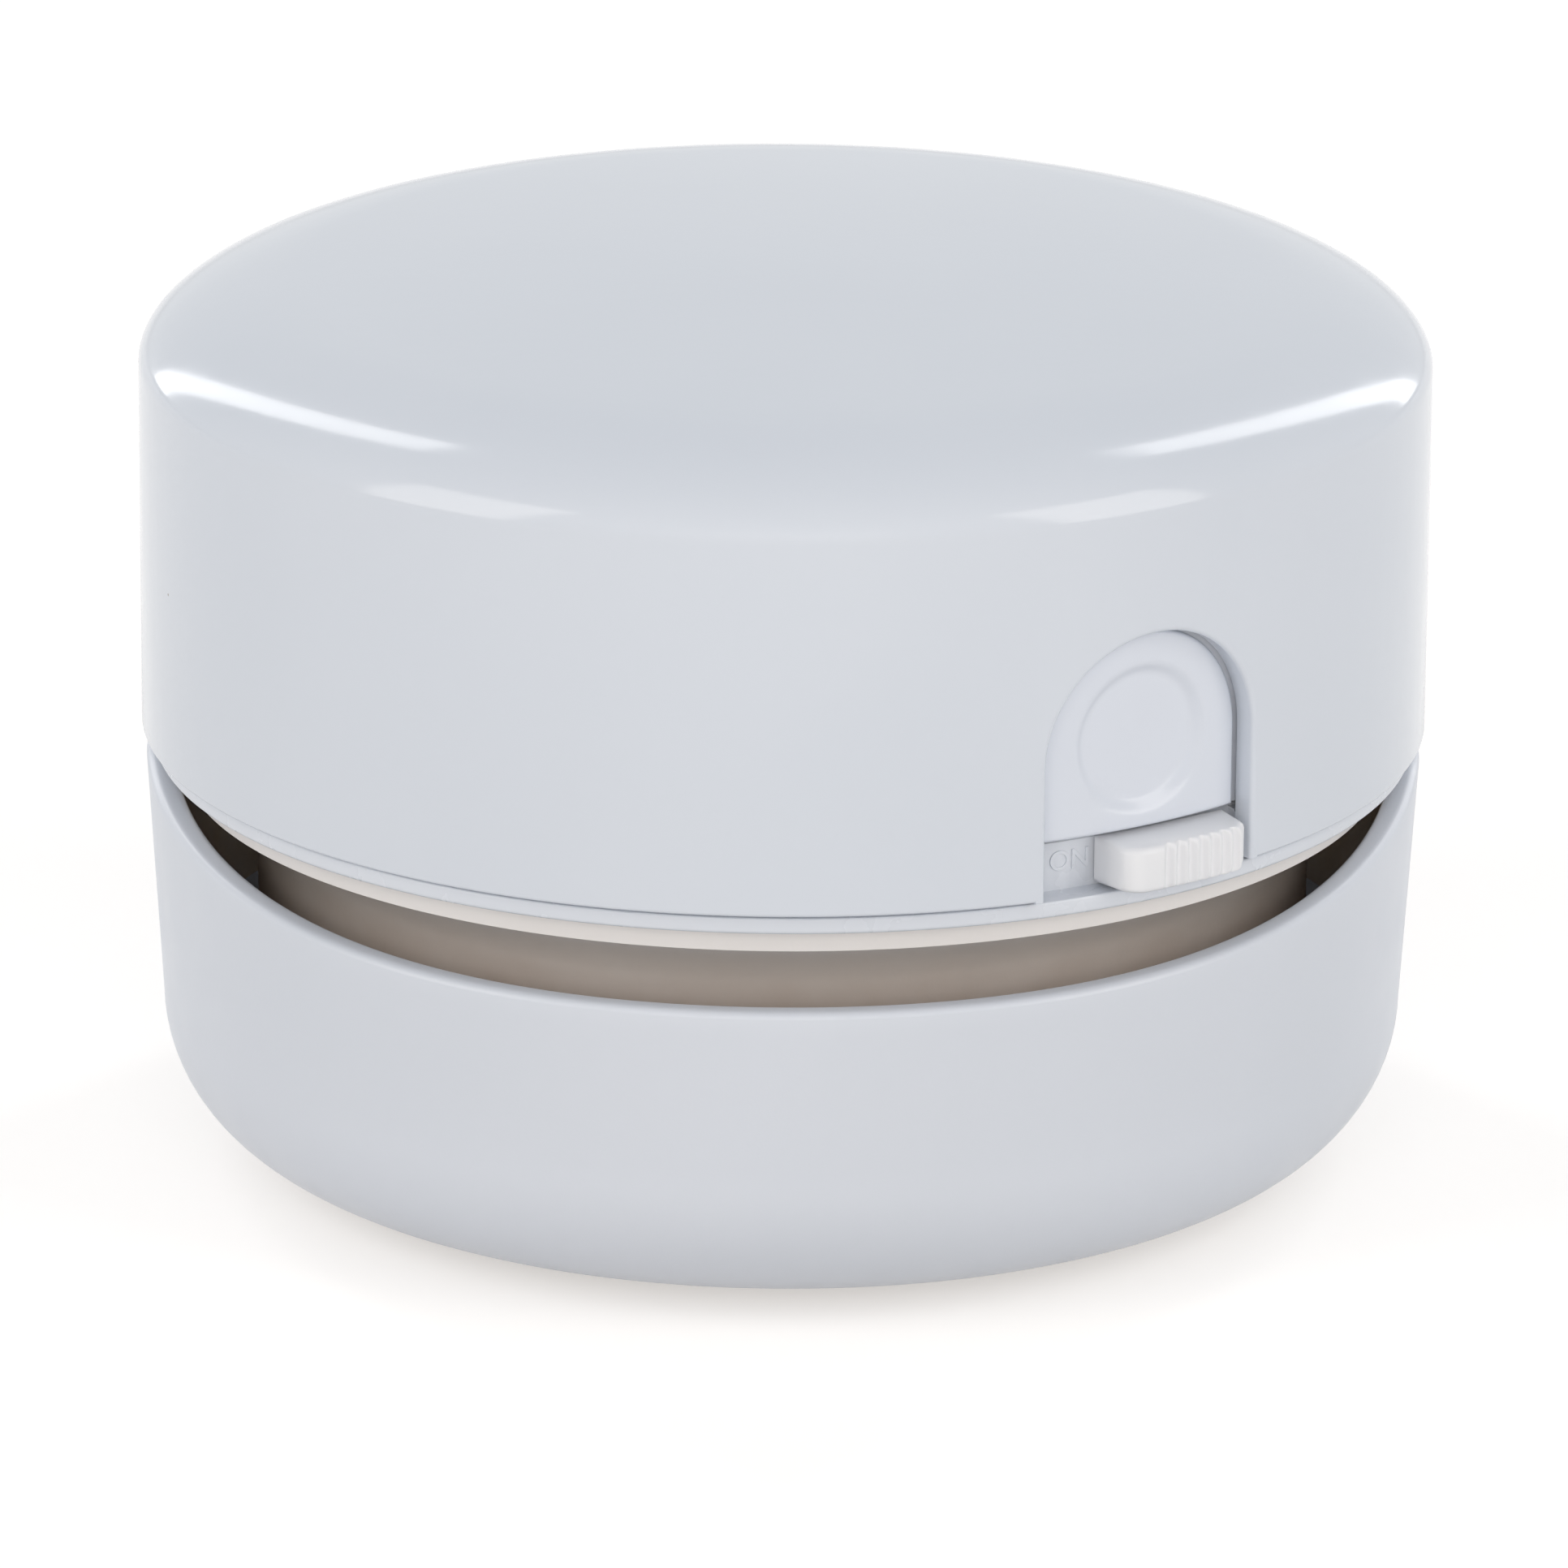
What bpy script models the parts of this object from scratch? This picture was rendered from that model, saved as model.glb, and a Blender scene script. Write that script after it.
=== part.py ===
"""Desktop mini vacuum cleaner: a round, two-part body with its fan, motor and batteries inside.

The dust cup stands on a ring of bristles round the inlet. The upper body lifts off the cup: a chassis
that carries the fan shroud, the motor, two batteries, the switch and the push button, under a top cap.
Air goes up the inlet, through the filter and the fan, out of the shroud's slots, and leaves by the
crescent gaps between the cup's rim and the chassis band, at the front and the back.

Metres, +Z up, -Y is the front with the widest exhaust gap. The pieces of the upper body are modelled
facing -Y and turned by CONTROL_AZIMUTH, because the controls sit to the right of the front.
"""

import math

import bmesh
import bpy
from mathutils import Matrix, Vector

MM = 0.001
TURN = 2.0 * math.pi

# Driving dimensions of the body
BODY_RADIUS = 42.0 * MM
CROWN_Z = 60.0 * MM
SEAM_Z = 29.3 * MM
CUP_SETBACK = 0.3 * MM
CUP_TAPER = 1.0 * MM
UNDERSIDE_Z = 1.2 * MM
CONTROL_AZIMUTH = math.radians(34.0)

# Clearances
SEAT_GAP = 0.3 * MM
OVERRUN = 1.0 * MM
SINK = 0.4 * MM
WELD_DISTANCE = 0.001 * MM

# Facet counts
BODY_STEPS = 56
SHROUD_STEPS = 48
RING_STEPS = 36
ROD_STEPS = 14
CORNER_STEPS = 4
SHOULDER_STEPS = 6

# Dust cup
CUP_WALL = 1.8 * MM
CUP_FILLET = 9.7 * MM
CUP_RIM_ROUND = 0.6 * MM
RIM_LOW_Z = 22.85 * MM
RIM_CLIMB = 5.9 * MM
RIM_CLIMB_POWER_SHARE = 1.75
INLET_RADIUS = 9.0 * MM
INLET_FLARE = 0.8 * MM
RISER_WALL = 1.4 * MM
RISER_TOP_Z = 9.6 * MM
EXHAUST_CHANNEL_WIDTH = 11.0 * MM
FILTER_WALL_THICKNESS = 1.3 * MM
FILTER_WALL_TOP_Z = 10.3 * MM
CHANNEL_INNER_RADIUS = 12.8 * MM
BRUSH_CHANNEL_WIDTH = 7.7 * MM
CHANNEL_TOP_Z = 5.7 * MM
INSERT_FLANGE = 1.9 * MM
INSERT_FLANGE_THICKNESS = 0.8 * MM

# Brush ring and bristles
CARRIER_BOTTOM_Z = 2.6 * MM
BACKING_GROOVE_DEPTH = 1.6 * MM
BACKING_THICKNESS = 0.9 * MM
BACKING_MARGIN = 1.2 * MM
BRISTLE_TIP_Z = 0.0
BRISTLE_RADIUS = 0.30 * MM
BRISTLE_LEAN = 0.35 * MM
BRISTLE_ARCS = 4
BRISTLE_ROWS = 3
BRISTLES_PER_ROW = 25
ARC_END_GAP = 2.0 * MM

# Filter
SEAL_HEIGHT = 1.2 * MM
SEAL_OVERLAP = 0.4 * MM
FRAME_RIM_WIDTH = 3.0 * MM
FRAME_HEIGHT = 2.6 * MM
FRAME_SPOKES = 6
SPOKE_WIDTH = 1.6 * MM
SPOKE_HEIGHT = 1.0 * MM
FRAME_HUB_RADIUS = 3.6 * MM
FILTER_THICKNESS = 0.6 * MM
PLEAT_DEPTH = 0.22 * MM
PLEATS = 20

# Fan shroud
SHROUD_WALL = 1.4 * MM
SHROUD_FLOOR_THICKNESS = 1.2 * MM
SHROUD_SETBACK = 0.6 * MM
FLARE_REACH = 4.8 * MM
SHROUD_BEND_Z = 21.4 * MM
FLARE_TOP_Z = 26.2 * MM
FLARE_TURN = math.radians(60.0)
FAN_EYE_RADIUS = 15.0 * MM
COLLAR_DEPTH = 2.6 * MM
COLLAR_WALL = 1.3 * MM
EXHAUST_SLOTS = 16
SLOT_WIDTH = 6.0 * MM
SLOT_HEIGHT = 2.4 * MM
LUG_RADIUS = 2.7 * MM
LUG_REACH = 4.5 * MM
LUG_THICKNESS = 1.3 * MM
LUG_QUARTER_TURNS = (1, 2, 3)
SLOT_SILL = 0.3 * MM

# Impeller
IMPELLER_CLEARANCE = 4.1 * MM
IMPELLER_LIFT = 0.7 * MM
BACKPLATE_THICKNESS = 0.9 * MM
VANE_HEIGHT = 5.6 * MM
VANE_THICKNESS = 1.0 * MM
VANES = 9
VANE_STEPS = 5
VANE_SWEEP = math.radians(62.0)
IMPELLER_HUB_RADIUS = 4.2 * MM
HUB_RISE = 0.8 * MM

# Screws
SCREW_SHANK_RADIUS = 0.9 * MM
SCREW_HEAD_RADIUS = 1.8 * MM
SCREW_HEAD_HEIGHT = 1.1 * MM
SCREW_LENGTH = 4.2 * MM
SCREW_SIDES = 10

# Chassis
BAND_SETBACK = 0.8 * MM
BAND_WALL = 1.3 * MM
BAND_DROP = 1.4 * MM
DECK_THICKNESS = 1.6 * MM
SPIGOT_HEIGHT = 3.0 * MM
SPIGOT_WALL = 1.2 * MM
BOSS_RADIUS = 2.2 * MM
BOSS_HEIGHT = 2.6 * MM
WELL_WALL = 1.3 * MM
WELL_FLOOR_Z = 25.0 * MM
WELL_FLOOR_THICKNESS = 1.2 * MM

# Motor
MOTOR_RADIUS = 10.0 * MM
MOTOR_HALF_FLAT = 7.6 * MM
MOTOR_CAN_LENGTH = 19.5 * MM
MOTOR_CAP_HEIGHT = 4.0 * MM
MOTOR_NOSE_RADIUS = 3.0 * MM
MOTOR_NOSE_LENGTH = 1.0 * MM
SHAFT_RADIUS = 1.0 * MM
SHAFT_IN_MOTOR = 6.0 * MM
TERMINAL_WIDTH = 2.2 * MM
TERMINAL_THICKNESS = 0.5 * MM
TERMINAL_HEIGHT = 3.0 * MM
TERMINAL_SPREAD = 5.2 * MM

# Batteries and their contacts
BATTERY_RADIUS = 7.25 * MM
BATTERY_LENGTH = 49.3 * MM
BATTERY_NUB_RADIUS = 2.7 * MM
BATTERY_NUB_LENGTH = 1.2 * MM
BATTERY_ROUND = 0.7 * MM
BATTERY_OFFSET = 18.6 * MM
CRADLE_PITCH = 26.0 * MM
CRADLE_THICKNESS = 1.6 * MM
CRADLE_WRAP = 3.6 * MM
POST_HALF_WIDTH = 4.6 * MM
POST_THICKNESS = 1.4 * MM
POST_TOP_Z = 42.5 * MM
CONTACT_THICKNESS = 0.4 * MM
CONTACT_HALF_WIDTH = 4.0 * MM
CONTACT_TAB_WIDTH = 2.4 * MM
CONTACT_TAB_HEIGHT = 2.6 * MM
CONTACT_SPRING_LENGTH = 3.4 * MM
CONTACT_SPRING_TURNS = 2.5
CONTACT_SPRING_WIDE = 4.0 * MM
CONTACT_SPRING_NARROW = 2.2 * MM
CONTACT_WIRE_RADIUS = 0.3 * MM

# Top cap
CAP_WALL = 1.7 * MM
DOME_RISE = 2.0 * MM
SHOULDER_WIDTH = 10.5 * MM
SHOULDER_DROP = 4.4 * MM
WINDOW_HALF_WIDTH = 7.9 * MM
WINDOW_TOP_Z = 45.85 * MM
WINDOW_ARC_STEPS = 14

# Push button
BUTTON_SINK = 1.6 * MM
BUTTON_BOTTOM_Z = 32.6 * MM
BUTTON_WALL = 1.5 * MM
BUTTON_LIP = 1.0 * MM
BUTTON_TRAVEL = 1.2 * MM
DISH_Z = 38.5 * MM
DISH_RADIUS = 5.1 * MM
DISH_DEPTH = 0.6 * MM
DISH_STEPS = 20
STEM_RADIUS = 2.3 * MM
STEM_LENGTH = 7.4 * MM
GUIDE_THICKNESS = 2.0 * MM
GUIDE_LEG_WIDTH = 2.0 * MM
GUIDE_MARGIN = 1.6 * MM
BUTTON_SPRING_TURNS = 2.5
BUTTON_SPRING_RADIUS = 3.2 * MM
BUTTON_WIRE_RADIUS = 0.2 * MM
COIL_STEPS = 9

# Slide switch
PANEL_SINK = 2.8 * MM
PANEL_WALL = 1.5 * MM
PANEL_SIDE = 1.4 * MM
SWITCH_TRAVEL = 4.0 * MM
KNOB_WIDTH = 9.8 * MM
KNOB_SIDE_GAP = 1.0 * MM
KNOB_REACH = 1.4 * MM
KNOB_RIBS = 8
KNOB_RIB_DEPTH = 0.35 * MM
KNOB_CORNER = 1.0 * MM
KNOB_PLAIN_SHARE = 0.26
LEVER_WIDTH = 1.8 * MM
LEVER_HEIGHT = 0.9 * MM
LEVER_DROP = 1.1 * MM
LEVER_REACH = 1.5 * MM
SWITCH_DEPTH = 3.4 * MM
SWITCH_HEIGHT = 3.6 * MM
SWITCH_SLOT_DEPTH = 2.4 * MM
SWITCH_MARGIN = 1.6 * MM
SWITCH_PIN_RADIUS = 0.4 * MM
SWITCH_PIN_LENGTH = 1.6 * MM
SWITCH_PIN_PITCH = 2.6 * MM

# Inside wiring
WIRE_RADIUS = 0.6 * MM
WIRE_STEPS = 3
WIRE_RUN_IN = 1.3 * MM
MOTOR_TO_NEGATIVE_ROUTE = [
    (8.6 * MM, 2.6 * MM, 55.8 * MM),
    (15.0 * MM, 8.4 * MM, 53.8 * MM),
    (21.6 * MM, 14.4 * MM, 50.8 * MM),
]
MOTOR_TO_SWITCH_ROUTE = [
    (-7.4 * MM, -3.8 * MM, 55.8 * MM),
    (-8.8 * MM, -12.0 * MM, 52.4 * MM),
    (-8.8 * MM, -22.0 * MM, 48.6 * MM),
    (-7.2 * MM, -28.4 * MM, 43.0 * MM),
    (-5.6 * MM, -29.0 * MM, 37.0 * MM),
    (-3.4 * MM, -29.0 * MM, 33.4 * MM),
]
POSITIVE_TO_SWITCH_ROUTE = [
    (23.8 * MM, -23.0 * MM, 47.6 * MM),
    (17.0 * MM, -28.0 * MM, 45.6 * MM),
    (10.0 * MM, -29.4 * MM, 41.0 * MM),
    (5.8 * MM, -29.2 * MM, 36.0 * MM),
    (3.6 * MM, -29.0 * MM, 33.4 * MM),
]

# Sizes that follow from the ones above
CUP_TOP_RADIUS = BODY_RADIUS - CUP_SETBACK
CUP_FOOT_RADIUS = CUP_TOP_RADIUS - CUP_TAPER
FILTER_WALL_RADIUS = CUP_TOP_RADIUS - EXHAUST_CHANNEL_WIDTH
CHANNEL_OUTER_RADIUS = CHANNEL_INNER_RADIUS + BRUSH_CHANNEL_WIDTH
FRAME_RADIUS = FILTER_WALL_RADIUS + SEAT_GAP
BAND_RADIUS = BODY_RADIUS - BAND_SETBACK
SHROUD_UPPER_RADIUS = BAND_RADIUS - BAND_WALL - SHROUD_SETBACK
SHROUD_LOWER_RADIUS = SHROUD_UPPER_RADIUS - FLARE_REACH
LUG_PITCH_RADIUS = SHROUD_UPPER_RADIUS - SHROUD_WALL - LUG_REACH
IMPELLER_RADIUS = SHROUD_LOWER_RADIUS - SHROUD_WALL - IMPELLER_CLEARANCE
PANEL_RADIUS = BODY_RADIUS - PANEL_SINK
KNOB_RADIUS = BODY_RADIUS + KNOB_REACH
BAND_TOP_Z = SEAM_Z - SEAT_GAP
BAND_BOTTOM_Z = SEAM_Z - BAND_DROP
DECK_Z = BAND_BOTTOM_Z + SEAT_GAP
DECK_TOP_Z = DECK_Z + DECK_THICKNESS
RIM_HIGH_Z = BAND_BOTTOM_Z - SEAT_GAP
CAP_INNER_RADIUS = BODY_RADIUS - CAP_WALL
SPIGOT_RADIUS = CAP_INNER_RADIUS - SEAT_GAP
CUP_FLOOR_Z = UNDERSIDE_Z + CUP_WALL
CUP_FLAT_RADIUS = CUP_FOOT_RADIUS - CUP_FILLET
FRAME_BOTTOM_Z = FILTER_WALL_TOP_Z + SEAT_GAP + SEAL_HEIGHT + SEAT_GAP
FRAME_TOP_Z = FRAME_BOTTOM_Z + FRAME_HEIGHT
SHROUD_FLOOR_Z = FRAME_TOP_Z + SEAT_GAP
SHROUD_PLATE_TOP_Z = SHROUD_FLOOR_Z + SHROUD_FLOOR_THICKNESS
SHROUD_TOP_Z = DECK_Z - SEAT_GAP
IMPELLER_BOTTOM_Z = SHROUD_PLATE_TOP_Z + IMPELLER_LIFT
PLATE_BOTTOM_Z = IMPELLER_BOTTOM_Z + VANE_HEIGHT
PLATE_TOP_Z = PLATE_BOTTOM_Z + BACKPLATE_THICKNESS
MOTOR_Z = WELL_FLOOR_Z + WELL_FLOOR_THICKNESS + SEAT_GAP
MOTOR_CAP_Z = MOTOR_Z + MOTOR_CAN_LENGTH + SEAT_GAP
BATTERY_Z = DECK_TOP_Z + BATTERY_RADIUS + CRADLE_THICKNESS
WINDOW_ARC_Z = WINDOW_TOP_Z - WINDOW_HALF_WIDTH
BUTTON_RADIUS = BODY_RADIUS - BUTTON_SINK
BUTTON_BACK_RADIUS = BUTTON_RADIUS - BUTTON_WALL
BUTTON_HALF_WIDTH = WINDOW_HALF_WIDTH - SEAT_GAP
BUTTON_TOP_Z = WINDOW_TOP_Z - SEAT_GAP
STEM_Z = (BUTTON_BOTTOM_Z + BUTTON_TOP_Z) / 2.0
PANEL_TOP_Z = BUTTON_BOTTOM_Z - SEAT_GAP
KNOB_TOP_Z = BUTTON_BOTTOM_Z - SEAT_GAP
PANEL_INNER_RADIUS = PANEL_RADIUS - PANEL_WALL
KNOB_BOTTOM_Z = BAND_TOP_Z + SEAT_GAP
KNOB_CENTRE_X = WINDOW_HALF_WIDTH - KNOB_SIDE_GAP - KNOB_WIDTH / 2.0
LEVER_Z = KNOB_TOP_Z - LEVER_DROP
SWITCH_FRONT = PANEL_INNER_RADIUS - SEAT_GAP * 3.0
SWITCH_CENTRE_X = KNOB_CENTRE_X - SWITCH_TRAVEL / 2.0
SPRING_SEAT = BUTTON_BACK_RADIUS - STEM_LENGTH + GUIDE_THICKNESS + BUTTON_TRAVEL


def clear_scene():
    for item in list(bpy.data.objects):
        bpy.data.objects.remove(item, do_unlink=True)


def make_material(name, colour, roughness, metallic=0.0):
    material = bpy.data.materials.new(name)
    material.use_nodes = True
    shader = material.node_tree.nodes["Principled BSDF"]
    shader.inputs["Base Color"].default_value = (*colour, 1.0)
    shader.inputs["Roughness"].default_value = roughness
    shader.inputs["Metallic"].default_value = metallic
    material.diffuse_color = (*colour, 1.0)
    return material


def face_outward(mesh_data):
    """Turns every face of one closed body out."""
    bmesh.ops.recalc_face_normals(mesh_data, faces=mesh_data.faces)
    if mesh_data.calc_volume(signed=True) < 0.0:
        bmesh.ops.reverse_faces(mesh_data, faces=mesh_data.faces)


def add_object(name, mesh_data, material, parent):
    """Turns a finished bmesh into a named object with its own material."""
    mesh = bpy.data.meshes.new(name)
    mesh_data.to_mesh(mesh)
    mesh_data.free()
    mesh.shade_smooth()
    mesh.set_sharp_from_angle(angle=math.radians(35.0))
    item = bpy.data.objects.new(name, mesh)
    bpy.context.scene.collection.objects.link(item)
    item.parent = parent
    if material:
        mesh.materials.append(material)
    return item


def add_tool(name, mesh_data, parent):
    """A shape that only cuts, trims or adds to another piece."""
    item = add_object(name, mesh_data, None, parent)
    item.hide_render = True
    item.display_type = "WIRE"
    return item


def combine(item, operation, *tools):
    for tool in tools:
        step = item.modifiers.new(operation.lower(), "BOOLEAN")
        step.operation = operation
        step.solver = "EXACT"
        step.object = tool


def set_origin(item, point):
    """Moves an object's origin without moving its surface."""
    item.data.transform(Matrix.Translation(-Vector(point)))
    item.location = point


def arc_points(centre, radii, start, end, steps):
    """Points on an ellipse's arc in the (r, z) plane, ends included."""
    points = []
    for step in range(steps + 1):
        angle = start + (end - start) * step / steps
        points.append((centre[0] + radii[0] * math.cos(angle), centre[1] + radii[1] * math.sin(angle)))
    return points


def revolve(outline, steps, span=TURN, start=0.0):
    """Spins a closed (r, z) outline round Z. A part turn gets its two end faces."""
    mesh_data = bmesh.new()
    turned = Matrix.Rotation(start, 4, "Z")
    verts = [mesh_data.verts.new(turned @ Vector((r, 0.0, z))) for r, z in outline]
    edges = [mesh_data.edges.new((verts[i - 1], verts[i])) for i in range(len(verts))]
    bmesh.ops.spin(
        mesh_data,
        geom=verts + edges,
        cent=(0.0, 0.0, 0.0),
        axis=(0.0, 0.0, 1.0),
        angle=span,
        steps=steps,
        use_merge=span == TURN,
    )
    bmesh.ops.remove_doubles(mesh_data, verts=mesh_data.verts, dist=WELD_DISTANCE)
    loose = [edge for edge in mesh_data.edges if not edge.link_faces]
    bmesh.ops.delete(mesh_data, geom=loose, context="EDGES")
    if span != TURN:
        rim = [edge for edge in mesh_data.edges if edge.is_boundary]
        bmesh.ops.holes_fill(mesh_data, edges=rim, sides=0)
    face_outward(mesh_data)
    return mesh_data


def extrude(outline, low, high, axis="Z"):
    """A prism of a closed outline. Axis Y takes (x, z) points and runs from y=low to y=high."""
    mesh_data = bmesh.new()
    if axis == "Z":
        verts = [mesh_data.verts.new((a, b, low)) for a, b in outline]
        shift = Vector((0.0, 0.0, high - low))
    else:
        verts = [mesh_data.verts.new((a, low, b)) for a, b in outline]
        shift = Vector((0.0, high - low, 0.0))
    face = mesh_data.faces.new(verts)
    grown = bmesh.ops.extrude_face_region(mesh_data, geom=[face], use_keep_orig=True)
    moved = [part for part in grown["geom"] if isinstance(part, bmesh.types.BMVert)]
    bmesh.ops.translate(mesh_data, verts=moved, vec=shift)
    face_outward(mesh_data)
    return mesh_data


def block(low, high):
    """A box between two corners."""
    mesh_data = bmesh.new()
    bmesh.ops.create_cube(mesh_data, size=1.0)
    size = Vector(high) - Vector(low)
    centre = (Vector(high) + Vector(low)) / 2.0
    bmesh.ops.scale(mesh_data, verts=mesh_data.verts, vec=size)
    bmesh.ops.translate(mesh_data, verts=mesh_data.verts, vec=centre)
    return mesh_data


def rod(start, end, radius, sides=ROD_STEPS, end_radius=None):
    """A round bar or cone between two points."""
    mesh_data = bmesh.new()
    line = Vector(end) - Vector(start)
    bmesh.ops.create_cone(
        mesh_data,
        cap_ends=True,
        segments=sides,
        radius1=radius,
        radius2=radius if end_radius is None else end_radius,
        depth=line.length,
    )
    turned = line.to_track_quat("Z", "Y").to_matrix().to_4x4()
    middle = Matrix.Translation((Vector(start) + Vector(end)) / 2.0)
    mesh_data.transform(middle @ turned)
    face_outward(mesh_data)
    return mesh_data


def gather(parts):
    """Joins several bmeshes into one, as separate bodies."""
    joined = bmesh.new()
    for part in parts:
        face_outward(part)
        holder = bpy.data.meshes.new("holder")
        part.to_mesh(holder)
        part.free()
        joined.from_mesh(holder)
        bpy.data.meshes.remove(holder)
    return joined


def around(make_one, count, start=0.0):
    """Copies of one bmesh, turned evenly round Z."""
    copies = []
    for index in range(count):
        copy = make_one()
        copy.transform(Matrix.Rotation(start + TURN * index / count, 4, "Z"))
        copies.append(copy)
    return copies


def smooth_route(points, steps):
    """A Catmull-Rom curve through the points, sampled in even steps between each pair."""
    ends = [points[0] * 2.0 - points[1], *points, points[-1] * 2.0 - points[-2]]
    route = []
    for a, b, c, d in zip(ends, ends[1:], ends[2:], ends[3:]):
        for step in range(steps):
            t = step / steps
            route.append(
                (b * 2.0 + (c - a) * t + (a * 2.0 - b * 5.0 + c * 4.0 - d) * t * t
                 + (b * 3.0 - a - c * 3.0 + d) * t * t * t) / 2.0
            )
    return [*route, points[-1]]


def tube(name, points, radius, material, parent, resolution=1):
    """A wire along a line of points, with filled ends."""
    curve = bpy.data.curves.new(name, "CURVE")
    curve.dimensions = "3D"
    curve.bevel_depth = radius
    curve.bevel_resolution = resolution
    curve.use_fill_caps = True
    line = curve.splines.new("POLY")
    line.points.add(len(points) - 1)
    for slot, point in zip(line.points, points):
        slot.co = (*point, 1.0)
    curve.materials.append(material)
    item = bpy.data.objects.new(name, curve)
    bpy.context.scene.collection.objects.link(item)
    item.parent = parent
    return item


def helix(start, end, first_radius, last_radius, turns, steps_per_turn):
    """Points of a coil whose axis runs from start to end."""
    axis = Vector(end) - Vector(start)
    across = axis.cross(Vector((0.0, 0.0, 1.0))).normalized()
    up = across.cross(axis).normalized()
    count = int(turns * steps_per_turn)
    points = []
    for step in range(count + 1):
        share = step / count
        angle = TURN * turns * share
        radius = first_radius + (last_radius - first_radius) * share
        offset = across * math.cos(angle) + up * math.sin(angle)
        points.append(Vector(start) + axis * share + offset * radius)
    return points


def coil_self_gap(points, steps_per_turn, wire_radius):
    """The least gap between one turn of a coil and the next."""
    least = min(
        (a - b).length for a, b in zip(points, points[steps_per_turn:])
    )
    return least - wire_radius * 2.0


def rim_height(azimuth):
    """The cup's rim dips to its lowest at the front and back and meets the band at the sides."""
    climb = RIM_CLIMB * (1.0 - abs(math.cos(azimuth))) ** RIM_CLIMB_POWER_SHARE
    return min(RIM_HIGH_Z, RIM_LOW_Z + climb)


def make_dust_cup(material):
    fillet_z = UNDERSIDE_Z + CUP_FILLET
    wall_inner_top = CUP_TOP_RADIUS - CUP_WALL
    inner_fillet = CUP_FILLET - CUP_WALL
    hole_radius = CHANNEL_OUTER_RADIUS + CUP_WALL + SEAT_GAP
    outline = [(hole_radius, UNDERSIDE_Z)]
    outline += arc_points(
        (CUP_FLAT_RADIUS, fillet_z), (CUP_FILLET, CUP_FILLET), -TURN / 4.0, 0.0, CORNER_STEPS
    )
    outline += [
        (CUP_TOP_RADIUS, RIM_HIGH_Z - CUP_RIM_ROUND),
        (CUP_TOP_RADIUS - CUP_RIM_ROUND, RIM_HIGH_Z),
        (wall_inner_top + CUP_RIM_ROUND, RIM_HIGH_Z),
        (wall_inner_top, RIM_HIGH_Z - CUP_RIM_ROUND),
    ]
    outline += arc_points(
        (CUP_FLAT_RADIUS, fillet_z), (inner_fillet, inner_fillet), 0.0, -TURN / 4.0, CORNER_STEPS - 1
    )
    outline.append((hole_radius, CUP_FLOOR_Z))
    mesh_data = revolve(outline, BODY_STEPS)
    for vert in mesh_data.verts:
        radius = math.hypot(vert.co.x, vert.co.y)
        if radius > CUP_FLAT_RADIUS and vert.co.z > fillet_z:
            azimuth = math.atan2(vert.co.x, -vert.co.y)
            stretch = (rim_height(azimuth) - fillet_z) / (RIM_HIGH_Z - fillet_z)
            vert.co.z = fillet_z + (vert.co.z - fillet_z) * stretch
    add_object("dust_cup", mesh_data, material, None)


def make_cup_inserts(material):
    """The inlet's riser with its channel for the brush, and the wall that the filter seals on."""
    riser_radius = INLET_RADIUS + RISER_WALL
    roof_z = CHANNEL_TOP_Z + CUP_WALL
    roof_radius = CHANNEL_OUTER_RADIUS + CUP_WALL
    seat_z = CUP_FLOOR_Z + SEAT_GAP
    add_object("inlet_insert", revolve([
        (INLET_RADIUS, RISER_TOP_Z),
        (INLET_RADIUS, UNDERSIDE_Z + INLET_FLARE),
        (INLET_RADIUS + INLET_FLARE, UNDERSIDE_Z),
        (CHANNEL_INNER_RADIUS, UNDERSIDE_Z),
        (CHANNEL_INNER_RADIUS, CHANNEL_TOP_Z),
        (CHANNEL_OUTER_RADIUS, CHANNEL_TOP_Z),
        (CHANNEL_OUTER_RADIUS, UNDERSIDE_Z),
        (roof_radius, UNDERSIDE_Z),
        (roof_radius, seat_z),
        (roof_radius + INSERT_FLANGE, seat_z),
        (roof_radius + INSERT_FLANGE, seat_z + INSERT_FLANGE_THICKNESS),
        (roof_radius, seat_z + INSERT_FLANGE_THICKNESS),
        (roof_radius, roof_z),
        (riser_radius, roof_z),
        (riser_radius, RISER_TOP_Z),
    ], RING_STEPS), material, None)
    wall_inner = FILTER_WALL_RADIUS - FILTER_WALL_THICKNESS
    add_object("filter_seat", revolve([
        (wall_inner, seat_z),
        (FILTER_WALL_RADIUS, seat_z),
        (FILTER_WALL_RADIUS, FILTER_WALL_TOP_Z),
        (wall_inner, FILTER_WALL_TOP_Z),
    ], RING_STEPS), material, None)


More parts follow.
